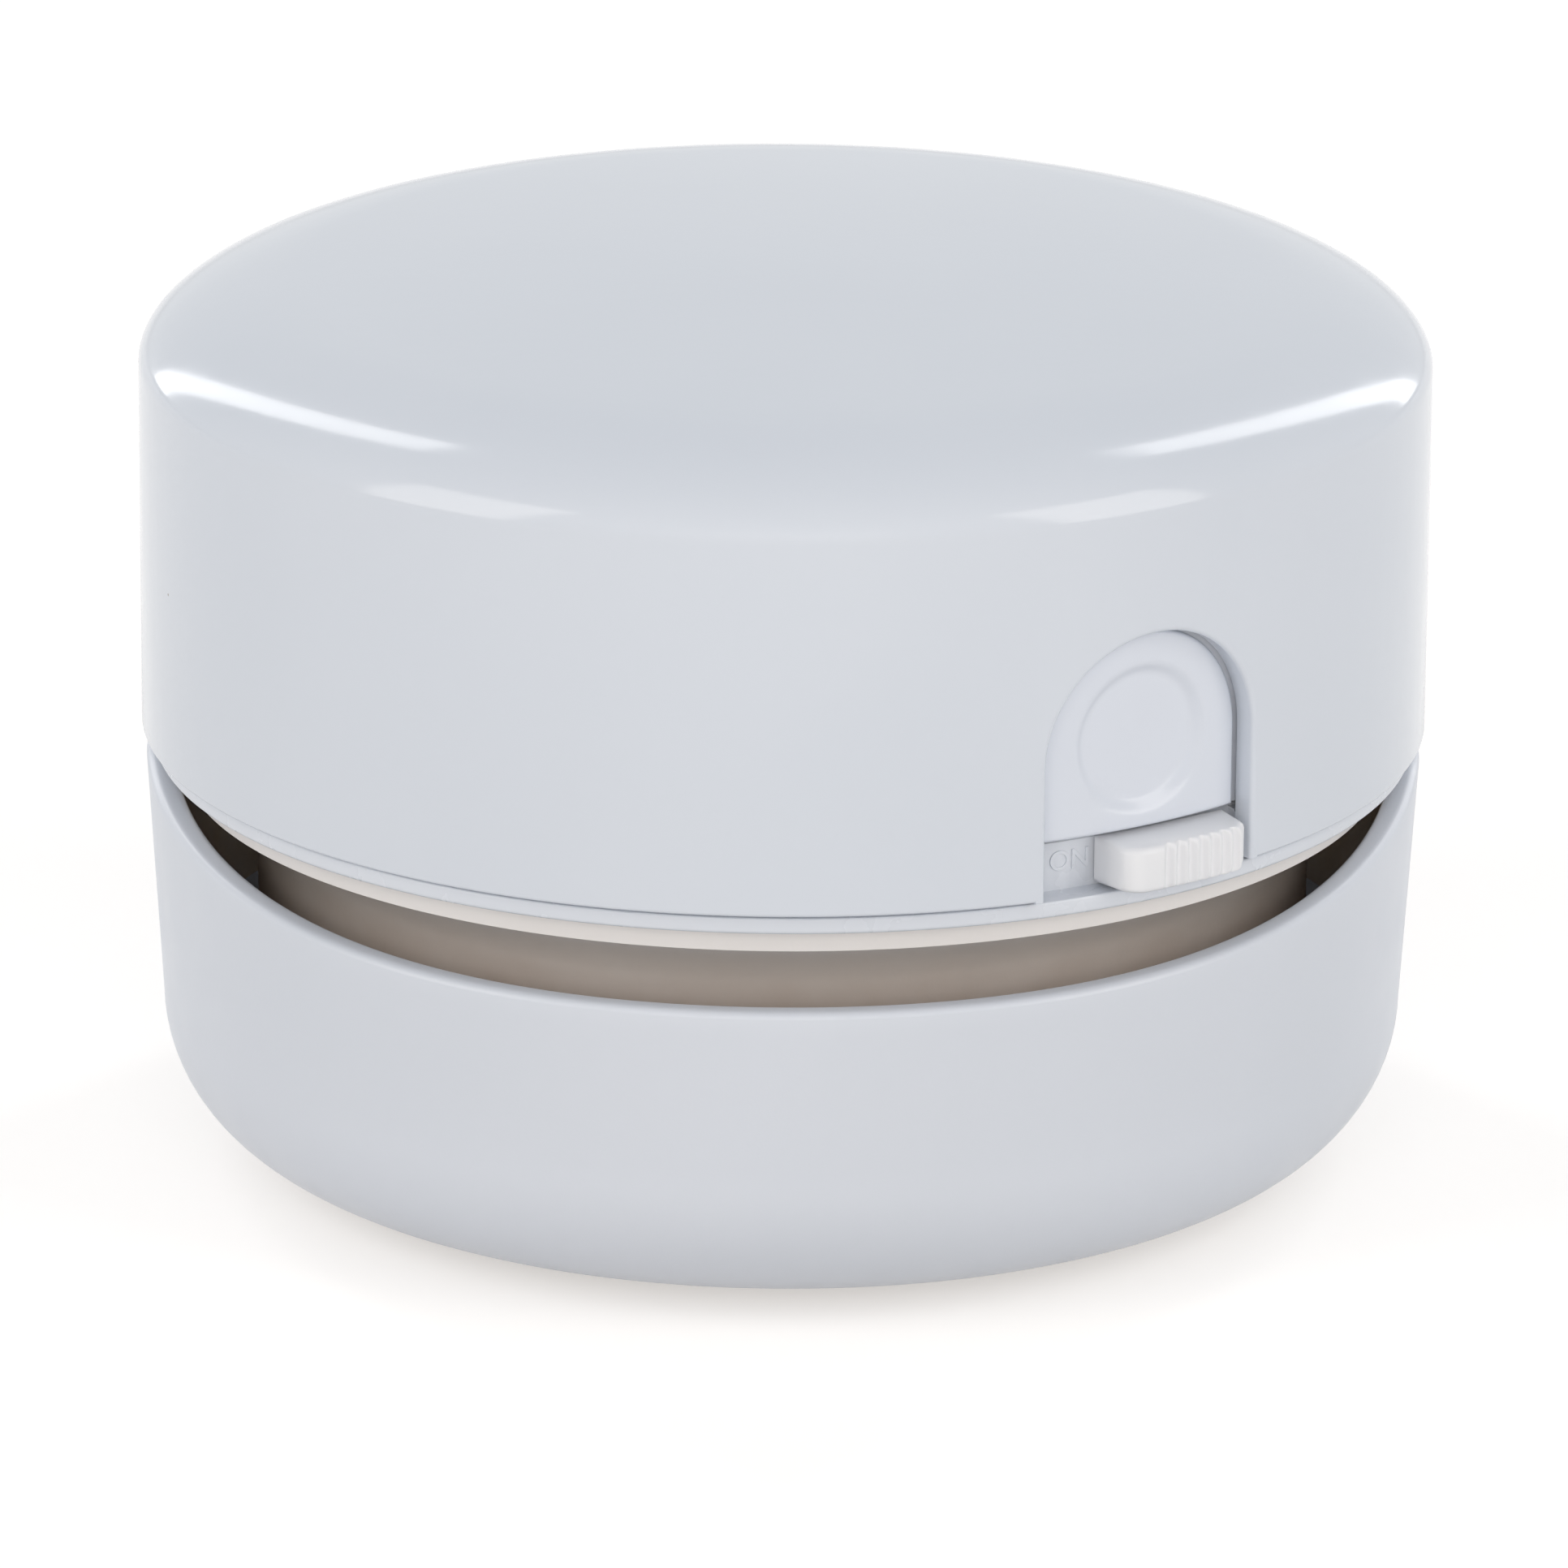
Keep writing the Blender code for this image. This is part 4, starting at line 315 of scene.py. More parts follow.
# PVC sleeves and wire jackets look wetter than the plastics around them.
SLEEVE_PVC = moulded_plastic("battery_sleeve_pvc", "3A4250", "2E3542", 0.18, 0.26, 0.9, 0.006)
RED_PVC = moulded_plastic("red_wire_pvc", "B3181C", "96110F", 0.32, 0.42, 0.5, 0.01)
BLACK_PVC = moulded_plastic("black_wire_pvc", "1B1B1C", "101011", 0.32, 0.42, 0.5, 0.01)
NYLON = nylon_filament("nylon_bristle_filament")
FOAM = foam_rubber("grey_foam_rubber")
FILTER_CLOTH = nonwoven_cloth("nonwoven_filter_cloth")
# Rolled and drawn metals show fine lines along the pull, and spring wire shines evenly.
NICKEL = worked_metal("nickel_plated_steel", "C9C9C6", "AFAFAC", 0.2, 0.34, (0.15, 1.0, 1.0), 0.4)
SPRING_STEEL = worked_metal("spring_steel_wire", "BFC0C2", "9FA1A4", 0.18, 0.3, (1.0, 1.0, 1.0), 0.3)
DRAWN_STEEL = worked_metal("drawn_motor_steel", "BDBEBF", "A0A2A4", 0.28, 0.42, (1.0, 1.0, 0.08), 0.5)
BRASS = worked_metal("rolled_brass", "D9BC7A", "BD9A55", 0.22, 0.36, (1.0, 1.0, 0.2), 0.4)


# Mesh making


def face_outward(shape):
    """Turns every face of one closed body out."""
    bmesh.ops.recalc_face_normals(shape, faces=shape.faces)
    if shape.calc_volume(signed=True) < 0.0:
        bmesh.ops.reverse_faces(shape, faces=shape.faces)
    return shape


def arc(centre, radii, start, end, steps):
    """Points on an ellipse's arc in the (r, z) plane, ends included."""
    turns = [start + (end - start) * step / steps for step in range(steps + 1)]
    return [(centre[0] + radii[0] * math.cos(t), centre[1] + radii[1] * math.sin(t)) for t in turns]


def spun(outline, steps=INNER_STEPS, start=0.0, sweep=TURN):
    """Turns a closed (r, z) outline round Z. A part turn gets its two end faces."""
    shape = bmesh.new()
    whole = sweep >= TURN
    columns = []
    on_axis = {}
    for step in range(steps if whole else steps + 1):
        angle = start + sweep * step / steps
        column = []
        for index, (radius, z) in enumerate(outline):
            if radius < 1e-9:
                if index not in on_axis:
                    on_axis[index] = shape.verts.new((0.0, 0.0, z))
                column.append(on_axis[index])
            else:
                column.append(shape.verts.new((radius * math.cos(angle), radius * math.sin(angle), z)))
        columns.append(column)
    for step in range(steps):
        left, right = columns[step], columns[(step + 1) % len(columns)]
        for index in range(len(outline)):
            after = (index + 1) % len(outline)
            ring = list(dict.fromkeys([left[index], right[index], right[after], left[after]]))
            if len(ring) > 2:
                shape.faces.new(ring)
    if not whole:
        shape.faces.new(columns[0])
        shape.faces.new(columns[-1][::-1])
    return face_outward(shape)


def stacked(rings):
    """A closed body through rings of equally many points, its first and last ring filled."""
    shape = bmesh.new()
    rows = [[shape.verts.new(point) for point in ring] for ring in rings]
    count = len(rows[0])
    for low, high in zip(rows, rows[1:]):
        for index in range(count):
            after = (index + 1) % count
            shape.faces.new((low[index], low[after], high[after], high[index]))
    shape.faces.new(rows[0])
    shape.faces.new(rows[-1][::-1])
    return face_outward(shape)


def prism(outline, low, high, axis="Z"):
    """A straight bar of a closed outline. Axis Y takes (x, z) points and runs from y=low to y=high."""
    if axis == "Z":
        return stacked([[(a, b, end) for a, b in outline] for end in (low, high)])
    return stacked([[(a, end, b) for a, b in outline] for end in (low, high)])


def block(low, high):
    (left, front, bottom), (right, back, top) = low, high
    return prism([(left, front), (right, front), (right, back), (left, back)], bottom, top)


def rod(start, end, radius, sides=32):
    """A round bar between two points."""
    line = Vector(end) - Vector(start)
    turned = Matrix.Translation(start) @ line.to_track_quat("Z", "Y").to_matrix().to_4x4()
    shape = spun([(0.0, 0.0), (radius, 0.0), (radius, line.length), (0.0, line.length)], sides)
    shape.transform(turned)
    return shape


def merged(shapes):
    """Several bodies in one bmesh."""
    whole = bmesh.new()
    for shape in shapes:
        holder = bpy.data.meshes.new("holder")
        shape.to_mesh(holder)
        shape.free()
        whole.from_mesh(holder)
        bpy.data.meshes.remove(holder)
    return whole


def loose_object(shape):
    mesh = bpy.data.meshes.new("step")
    shape.to_mesh(mesh)
    shape.free()
    item = bpy.data.objects.new("step", mesh)
    bpy.context.scene.collection.objects.link(item)
    return item


def carve(shape, operation, *tools):
    """The exact Boolean of a shape with its tools, as a new bmesh."""
    base = loose_object(shape)
    cutters = [loose_object(tool) for tool in tools]
    for cutter in cutters:
        step = base.modifiers.new("step", "BOOLEAN")
        step.operation = operation
        step.solver = "EXACT"
        step.object = cutter
    result = bmesh.new()
    result.from_object(base, bpy.context.evaluated_depsgraph_get())
    for item in (base, *cutters):
        bpy.data.objects.remove(item, do_unlink=True)
    return result


def finish_piece(name, shape, material, body, nodes=(), sharp=30.0, round_off=0.0, turned=False):
    """Turns a bmesh into a shown piece that rides on a body and stands for its solids."""
    if turned:
        shape.transform(CONTROL_TURN)
    mesh = bpy.data.meshes.new(name)
    shape.to_mesh(mesh)
    shape.free()
    mesh.shade_smooth()
    mesh.set_sharp_from_angle(angle=math.radians(sharp))
    mesh.materials.append(material)
    piece = bpy.data.objects.new(name, mesh)
    bpy.context.scene.collection.objects.link(piece)
    if round_off:
        bevel = piece.modifiers.new("rounded_edges", "BEVEL")
        bevel.width = round_off
        bevel.segments = 2
        bevel.limit_method = "ANGLE"
        bevel.angle_limit = math.radians(35.0)
    return settle(piece, body, nodes)


def settle(piece, body, nodes=()):
    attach(piece, body)
    if nodes:
        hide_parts(*nodes)
    return piece


def rounded_copy(node, material, body, round_off=0.0):
    """A plain solid as a clean copy with eased edges."""
    shape = bmesh.new()
    shape.from_mesh(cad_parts[node].data)
    bmesh.ops.remove_doubles(shape, verts=shape.verts, dist=0.002 * MM)
    bmesh.ops.dissolve_limit(shape, angle_limit=math.radians(0.5), verts=shape.verts, edges=shape.edges)
    return finish_piece(f"{node}_finished", shape, material, body, [node], round_off=round_off)


# Dust cup


def cup_outline():
    fillet_z = UNDERSIDE_Z + CUP_FILLET
    flat = CUP_FOOT_RADIUS - CUP_FILLET
    inner_top = CUP_TOP_RADIUS - CUP_WALL
    inner_fillet = CUP_FILLET - CUP_WALL
    floor = UNDERSIDE_Z + CUP_WALL
    rim_z = RIM_HIGH_Z - RIM_ROUND
    rounding = (RIM_ROUND, RIM_ROUND)
    quarter = TURN / 4.0
    outline = [
        (22.6 * MM, 1.4 * MM), (22.8 * MM, 1.2 * MM),
        *arc((flat, fillet_z), (CUP_FILLET, CUP_FILLET), -quarter, 0.0, 20),
    ]
    steps = 10
    for step in range(1, steps):
        share = step / steps
        outline.append((CUP_FOOT_RADIUS + (CUP_TOP_RADIUS - CUP_FOOT_RADIUS) * share,
                        fillet_z + (rim_z - fillet_z) * share))
    outline += arc((CUP_TOP_RADIUS - RIM_ROUND, rim_z), rounding, 0.0, quarter, 5)
    outline += arc((inner_top + RIM_ROUND, rim_z), rounding, quarter, quarter * 2, 5)
    outline += arc((flat, fillet_z), (inner_fillet, inner_fillet), 0.0, -quarter, 12)
    return [*outline, (22.6 * MM, floor)]


def new_tree(name, sizes):
    """An empty geometry tree with named number inputs."""
    tree = bpy.data.node_groups.new(name, "GeometryNodeTree")
    tree.interface.new_socket("Geometry", in_out="INPUT", socket_type="NodeSocketGeometry")
    tree.interface.new_socket("Geometry", in_out="OUTPUT", socket_type="NodeSocketGeometry")
    for label, value in sizes.items():
        kind = "NodeSocketInt" if isinstance(value, int) else "NodeSocketFloat"
        tree.interface.new_socket(label, in_out="INPUT", socket_type=kind).default_value = value
    return tree, add(tree, "NodeGroupInput").outputs


def end_tree(tree, geometry, material):
    """Ends a tree in Realize Instances and Set Material."""
    real = add(tree, "GeometryNodeRealizeInstances", {0: geometry})
    painted = add(tree, "GeometryNodeSetMaterial", {"Geometry": real.outputs[0], "Material": material})
    add(tree, "NodeGroupOutput", {0: painted.outputs[0]})


def grow(shape, tree, values):
    """Runs a tree with these sizes on a shape and returns the plain result."""
    base = loose_object(shape)
    step = base.modifiers.new("grow", "NODES")
    step.node_group = tree
    for item in tree.interface.items_tree:
        if item.item_type == "SOCKET" and item.in_out == "INPUT" and item.name in values:
            step[item.identifier] = values[item.name]
    result = bmesh.new()
    result.from_object(base, bpy.context.evaluated_depsgraph_get())
    bpy.data.objects.remove(base, do_unlink=True)
    return result


def rim_tree(material):
    """Lifts a level rim so that it dips at the front and back, by the rule of the solid's own rim."""
    sizes = {"Fillet Z": 0.0, "High Z": 0.0, "Low Z": 0.0, "Climb": 0.0, "Power": 0.0, "Inner Radius": 0.0}
    tree, given = new_tree("dipping_rim", sizes)

    def maths(operation, *values):
        return add(tree, "ShaderNodeMath", dict(enumerate(values)), operation=operation).outputs[0]

    place = add(tree, "GeometryNodeInputPosition").outputs[0]
    x, y, z = add(tree, "ShaderNodeSeparateXYZ", {0: place}).outputs
    radius = maths("SQRT", maths("ADD", maths("MULTIPLY", x, x), maths("MULTIPLY", y, y)))
    facing = maths("ABSOLUTE", maths("DIVIDE", y, maths("MAXIMUM", radius, 1e-6)))
    climb = maths("MULTIPLY", given["Climb"], maths("POWER", maths("SUBTRACT", 1.0, facing), given["Power"]))
    rim = maths("MINIMUM", given["High Z"], maths("ADD", given["Low Z"], climb))
    stretch = maths("DIVIDE", maths("SUBTRACT", rim, given["Fillet Z"]),
                    maths("SUBTRACT", given["High Z"], given["Fillet Z"]))
    above = maths("SUBTRACT", z, given["Fillet Z"])
    moved = maths("ADD", given["Fillet Z"], maths("MULTIPLY", above, stretch))
    wall = maths("MULTIPLY", maths("GREATER_THAN", z, given["Fillet Z"]),
                 maths("GREATER_THAN", radius, given["Inner Radius"]))
    new_place = add(tree, "ShaderNodeCombineXYZ", {"X": x, "Y": y, "Z": moved})
    lifted = add(tree, "GeometryNodeSetPosition", {
        "Geometry": given["Geometry"], "Selection": wall, "Position": new_place.outputs[0],
    })
    end_tree(tree, lifted.outputs[0], material)
    return tree


def turned_copies_tree(material):
    """Copies of a shape, turned about Z by Sweep shared between Divisions, from Start."""
    tree, given = new_tree("turned_copies", {"Count": 1, "Divisions": 1, "Start": 0.0, "Sweep": TURN})
    places = add(tree, "GeometryNodePoints", {"Count": given["Count"], "Radius": 0.0})
    index = add(tree, "GeometryNodeInputIndex").outputs[0]
    share = add(tree, "ShaderNodeMath", {0: index, 1: given["Divisions"]}, operation="DIVIDE")
    angle = add(tree, "ShaderNodeMath", {0: share.outputs[0], 1: given["Sweep"], 2: given["Start"]},
                operation="MULTIPLY_ADD")
    turn = add(tree, "ShaderNodeCombineXYZ", {"Z": angle.outputs[0]})
    copies = add(tree, "GeometryNodeInstanceOnPoints", {
        "Points": places.outputs[0], "Instance": given["Geometry"], "Rotation": turn.outputs[0],
    })
    end_tree(tree, copies.outputs[0], material)
    return tree


def make_dust_cup():
    values = {
        "Fillet Z": UNDERSIDE_Z + CUP_FILLET, "High Z": RIM_HIGH_Z, "Low Z": RIM_LOW_Z, "Climb": RIM_CLIMB,
        "Power": RIM_CLIMB_POWER, "Inner Radius": CUP_FOOT_RADIUS - CUP_FILLET,
    }
    shell = grow(spun(cup_outline(), FINE_STEPS), rim_tree(SATIN_ABS), values)
    finish_piece("cup_shell", shell, SATIN_ABS, "cup", ["dust_cup"])
    insert = spun([
        (9.2 * MM, 9.6 * MM), (9.0 * MM, 9.4 * MM), (9.0 * MM, 2.0 * MM),
        *arc((9.8 * MM, 2.0 * MM), (0.8 * MM, 0.8 * MM), TURN / 2.0, TURN * 0.75, 6),
        (12.8 * MM, 1.2 * MM), (12.8 * MM, 5.7 * MM), (20.5 * MM, 5.7 * MM), (20.5 * MM, 1.2 * MM),
        (22.1 * MM, 1.2 * MM), (22.3 * MM, 1.4 * MM), (22.3 * MM, 3.3 * MM), (24.2 * MM, 3.3 * MM),
        (24.2 * MM, 3.9 * MM), (24.0 * MM, 4.1 * MM), (22.3 * MM, 4.1 * MM), (22.3 * MM, 7.3 * MM),
        (22.1 * MM, 7.5 * MM), (10.4 * MM, 7.5 * MM), (10.4 * MM, 9.4 * MM), (10.2 * MM, 9.6 * MM),
    ], 160)
    finish_piece("inlet_moulding", insert, SATIN_ABS, "cup", ["inlet_insert"])
    seat = spun([
        (29.4 * MM, 3.3 * MM), (30.7 * MM, 3.3 * MM), (30.7 * MM, 10.1 * MM), (30.5 * MM, 10.3 * MM),
        (29.6 * MM, 10.3 * MM), (29.4 * MM, 10.1 * MM),
    ], 160)
    finish_piece("filter_wall", seat, SATIN_ABS, "cup", ["filter_seat"])


# Top cap


def crown_z(radius, top_z):
    return top_z - DOME_RISE * (radius / BODY_RADIUS) ** 2


def cap_side(wall, steps):
    """The cap's section from its wall's top round the shoulder to the middle."""
    side = BODY_RADIUS - wall
    width = SHOULDER_WIDTH - wall
    drop = SHOULDER_DROP - wall
    points = []
    for step in range(steps + 1):
        turn = TURN / 4.0 * (1.0 - step / steps)
        radius = side - width + width * math.sin(turn)
        points.append((radius, crown_z(radius, CROWN_Z - wall) - drop * (1.0 - math.cos(turn))))
    rings = 12
    for step in range(rings - 1, -1, -1):
        radius = (side - width) * step / rings
        points.append((radius, crown_z(radius, CROWN_Z - wall)))
    return points


def arch(half_width, bottom, top, steps=56, side_steps=8):
    """An arch from its lower right corner round to its lower left: (x, z, outward x, outward z)."""
    centre_z = top - half_width
    rise = centre_z - bottom
    right = [(half_width, bottom + rise * step / side_steps, 1.0, 0.0) for step in range(side_steps)]
    left = [(-x, z, -1.0, 0.0) for x, z, _, _ in reversed(right)]
    turns = [TURN / 2.0 * step / steps for step in range(steps + 1)]
    bow = [
        (half_width * math.cos(t), centre_z + half_width * math.sin(t), math.cos(t), math.sin(t))
        for t in turns
    ]
    return right + bow + left


def on_cylinder(x, z, radius, depth=0.0):
    """The point over (x, z) on an upright cylinder's front, sunk by depth."""
    return (x, -math.sqrt(radius ** 2 - x ** 2) + depth, z)


def make_cap():
    seam_round = 0.25 * MM
    outline = [(BODY_RADIUS - CAP_WALL, SEAM_Z)]
    seam_centre = (BODY_RADIUS - seam_round, SEAM_Z + seam_round)
    outline += arc(seam_centre, (seam_round, seam_round), -TURN / 4.0, 0.0, 4)
    outline += cap_side(0.0, 28)
    outline += reversed(cap_side(CAP_WALL, 14))
    hole = arch(WINDOW_HALF_WIDTH + WINDOW_ROUND, SEAM_Z - MM, WINDOW_TOP_Z + WINDOW_ROUND)
    window = prism([(x, z) for x, z, _, _ in hole], -BODY_RADIUS - MM, -BODY_RADIUS + 5.0 * MM, "Y")
    window.transform(CONTROL_TURN)
    shell = carve(spun(outline, FINE_STEPS), "DIFFERENCE", window)

    quarter = [TURN / 4.0 * step / 6 for step in range(7)]
    section = [(WINDOW_ROUND + GAP, 0.02 * MM)]
    section += [(WINDOW_ROUND * (1.0 - math.sin(t)), WINDOW_ROUND * (1.0 - math.cos(t))) for t in quarter]
    section += [(0.0, CAP_WALL), (WINDOW_ROUND + GAP, CAP_WALL - 0.05 * MM)]
    rings = [
        [on_cylinder(x + nx * off, z + nz * off, BODY_RADIUS, depth) for off, depth in section]
        for x, z, nx, nz in arch(WINDOW_HALF_WIDTH, SEAM_Z, WINDOW_TOP_Z)
    ]
    lining = stacked(rings)
    lining.transform(CONTROL_TURN)
    finish_piece("cap_shell", merged([shell, lining]), GLOSS_ABS, "cap", ["top_cap"])


# Push button


def make_button():
    half = WINDOW_HALF_WIDTH - GAP
    top = WINDOW_TOP_Z - GAP
    bow = [(x, z) for x, z, _, _ in arch(half, BUTTON_BOTTOM_Z, top)]
    foot = [(-half + half * 2.0 * step / 16, BUTTON_BOTTOM_Z) for step in range(1, 16)]
    loop = bow + foot
    count = len(loop)
    inward = []
    for index, point in enumerate(loop):
        before, after = Vector(loop[index - 1]), Vector(loop[(index + 1) % count])
        one = (Vector(point) - before).normalized()
        two = (after - Vector(point)).normalized()
        first, second = Vector((-one.y, one.x)), Vector((-two.y, two.x))
        inward.append((first + second) / (1.0 + first.dot(second)))

    def surface(x, z, drop):
        reach = math.hypot(x, z - DISH_Z) / DISH_RADIUS
        share = min(max((1.0 - reach) * DISH_RADIUS / DISH_RIM, 0.0), 1.0)
        sunk = DISH_DEPTH * share * share * (3.0 - 2.0 * share)
        return on_cylinder(x, z, BUTTON_RADIUS, drop + sunk)

    wall = BUTTON_RADIUS - BUTTON_BACK_RADIUS
    rings = [[on_cylinder(x, z, BUTTON_RADIUS, wall) for x, z in loop]]
    edges = [(0.0, wall * 0.6)]
    edges += [
        (BUTTON_ROUND * (1.0 - math.cos(t)), BUTTON_ROUND * (1.0 - math.sin(t)))
        for t in (TURN / 4.0 * step / 5 for step in range(6))
    ]
    for inset, drop in edges:
        rings.append([
            surface(x + way.x * inset, z + way.y * inset, drop) for (x, z), way in zip(loop, inward)
        ])
    inner = [(x + way.x * BUTTON_ROUND, z + way.y * BUTTON_ROUND) for (x, z), way in zip(loop, inward)]
    for step in range(1, 40):
        share = 1.0 - step / 40.0
        rings.append([
            surface(x * share, DISH_Z + (z - DISH_Z) * share, 0.0) for x, z in inner
        ])
    face = stacked(rings)

    stem_end = -31.5 * MM
    stem_radius = 2.3 * MM
    lip_loop = [(x, z) for x, z, _, _ in arch(half + MM, BUTTON_BOTTOM_Z, top + MM)]
    lip = stacked([
        [on_cylinder(x, z, BUTTON_RADIUS, depth) for x, z in lip_loop] for depth in (0.4 * MM, wall)
    ])
    stem_z = (BUTTON_BOTTOM_Z + top) / 2.0
    stem = rod((0.0, -BUTTON_BACK_RADIUS + 0.2 * MM, stem_z), (0.0, stem_end, stem_z), stem_radius)
    button = merged([face, lip, stem])
    finish_piece("finger_button", button, BUTTON_ABS, "button", ["push_button"], turned=True)


# Slide switch


def make_knob():
    """The thumb piece: a plain rounded left end, then upright flutes that fade into its top and foot."""
    flutes = 8
    plain_share = 0.26
    flute_depth = 0.38 * MM
    corner = 1.3 * MM
    width = KNOB_RIGHT - KNOB_LEFT
    steps = 160
    quarter = [TURN / 4.0 * step / 5 for step in range(6)]
    rounding = [(KNOB_ROUND * (1.0 - math.sin(t)), KNOB_ROUND * (1.0 - math.cos(t))) for t in quarter]
    levels = [(KNOB_BOTTOM_Z + rise, inset) for rise, inset in reversed(rounding)]
    levels += [(KNOB_TOP_Z - rise, inset) for rise, inset in rounding]
    rings = []
    for z, inset in levels:
        flute = flute_depth * (1.0 - inset / KNOB_ROUND)
        ring = []
        for step in range(steps + 1):
            share = step / steps
            x = KNOB_LEFT + width * share
            edge = min(share, 1.0 - share) * width
            bite = max(corner - edge, 0.0)
            drop = corner - math.sqrt(max(corner ** 2 - bite ** 2, 0.0))
            if share > plain_share:
                wave = (share - plain_share) / (1.0 - plain_share)
                drop += flute * (1.0 - math.cos(TURN * flutes * wave)) / 2.0
            radius = KNOB_RADIUS - drop - inset
            squeeze = (x - (KNOB_LEFT + KNOB_RIGHT) / 2.0) * (1.0 - inset * 2.0 / width)
            ring.append(on_cylinder((KNOB_LEFT + KNOB_RIGHT) / 2.0 + squeeze, z, radius))
        for step in range(9):
            x = KNOB_RIGHT - width * step / 8.0
            nearest = max(-x, x - KNOB_TRAVEL, 0.0)
            ring.append((x, -math.sqrt(PANEL_RADIUS ** 2 - nearest ** 2) - GAP, z))
        rings.append(ring)
    knob = stacked(rings)
    finish_piece("thumb_slider", knob, KNOB_ABS, "switch_slider", ["switch_knob"],
                 sharp=50.0, turned=True)


def make_lettering():
    """The raised ON beside the slider, moulded with the panel."""
    curve = bpy.data.curves.new("on_letters", "FONT")
    curve.body = "ON"
    curve.size = 1.8 * MM
    curve.align_x = "CENTER"
    curve.align_y = "CENTER"
    curve.extrude = 0.07 * MM
    curve.bevel_depth = 0.03 * MM
    words = bpy.data.objects.new("on_letters", curve)
    bpy.context.scene.collection.objects.link(words)
    letters = bpy.data.meshes.new_from_object(words.evaluated_get(bpy.context.evaluated_depsgraph_get()))
    bpy.data.objects.remove(words, do_unlink=True)
    shape = bmesh.new()
    shape.from_mesh(letters)
    bpy.data.meshes.remove(letters)
    shape.transform(Matrix.Rotation(TURN / 4.0, 4, "X"))
    middle_x, middle_z = -4.5 * MM, 30.85 * MM
    for vert in shape.verts:
        x = middle_x + vert.co.x
        vert.co = on_cylinder(x, middle_z + vert.co.z, PANEL_RADIUS, vert.co.y)
    finish_piece("on_lettering", shape, CHASSIS_ABS, "upper_body", turned=True)


# Chassis


def make_chassis():
    band = 41.2 * MM
    edge = 0.3 * MM
    quarter = TURN / 4.0
    outline = [(0.0, 28.2 * MM), (39.9 * MM, 28.2 * MM), (39.9 * MM, 27.9 * MM)]
    outline += arc((band - edge, 27.9 * MM + edge), (edge, edge), -quarter, 0.0, 4)
    outline += arc((band - edge / 2.0, 29.0 * MM - edge / 2.0), (edge / 2.0, edge / 2.0), 0.0, quarter, 3)
    outline += [
        (40.0 * MM, 29.0 * MM), (40.0 * MM, 31.8 * MM), (39.8 * MM, 32.0 * MM),
        (38.8 * MM, 32.0 * MM), (38.8 * MM, 29.8 * MM), (0.0, 29.8 * MM),
    ]
    half = WINDOW_HALF_WIDTH + GAP
    recess = block((-half, -43.0 * MM, 29.0 * MM), (half, -37.8 * MM, 33.0 * MM))
    core = rod((0.0, 0.0, 28.0 * MM), (0.0, 0.0, 34.0 * MM), PANEL_RADIUS, FINE_STEPS)
    recess = carve(recess, "DIFFERENCE", core)
    recess.transform(CONTROL_TURN)
    ring = carve(spun(outline, FINE_STEPS), "DIFFERENCE", recess)
    finish_piece("chassis_ring", ring, CHASSIS_ABS, "upper_body", ["chassis"])

    reach = math.asin((half + 1.4 * MM) / PANEL_RADIUS)
    panel = spun([
        (37.7 * MM, 28.6 * MM), (PANEL_RADIUS, 28.6 * MM), (PANEL_RADIUS, 32.15 * MM),
        (39.05 * MM, 32.3 * MM), (37.7 * MM, 32.3 * MM),
    ], 40, -TURN / 4.0 - reach, reach * 2.0)
    slot = block((-3.2 * MM, -40.2 * MM, 30.45 * MM), (3.2 * MM, -36.7 * MM, 31.95 * MM))
    panel = carve(panel, "DIFFERENCE", slot)
    finish_piece("switch_panel", panel, CHASSIS_ABS, "upper_body", turned=True)


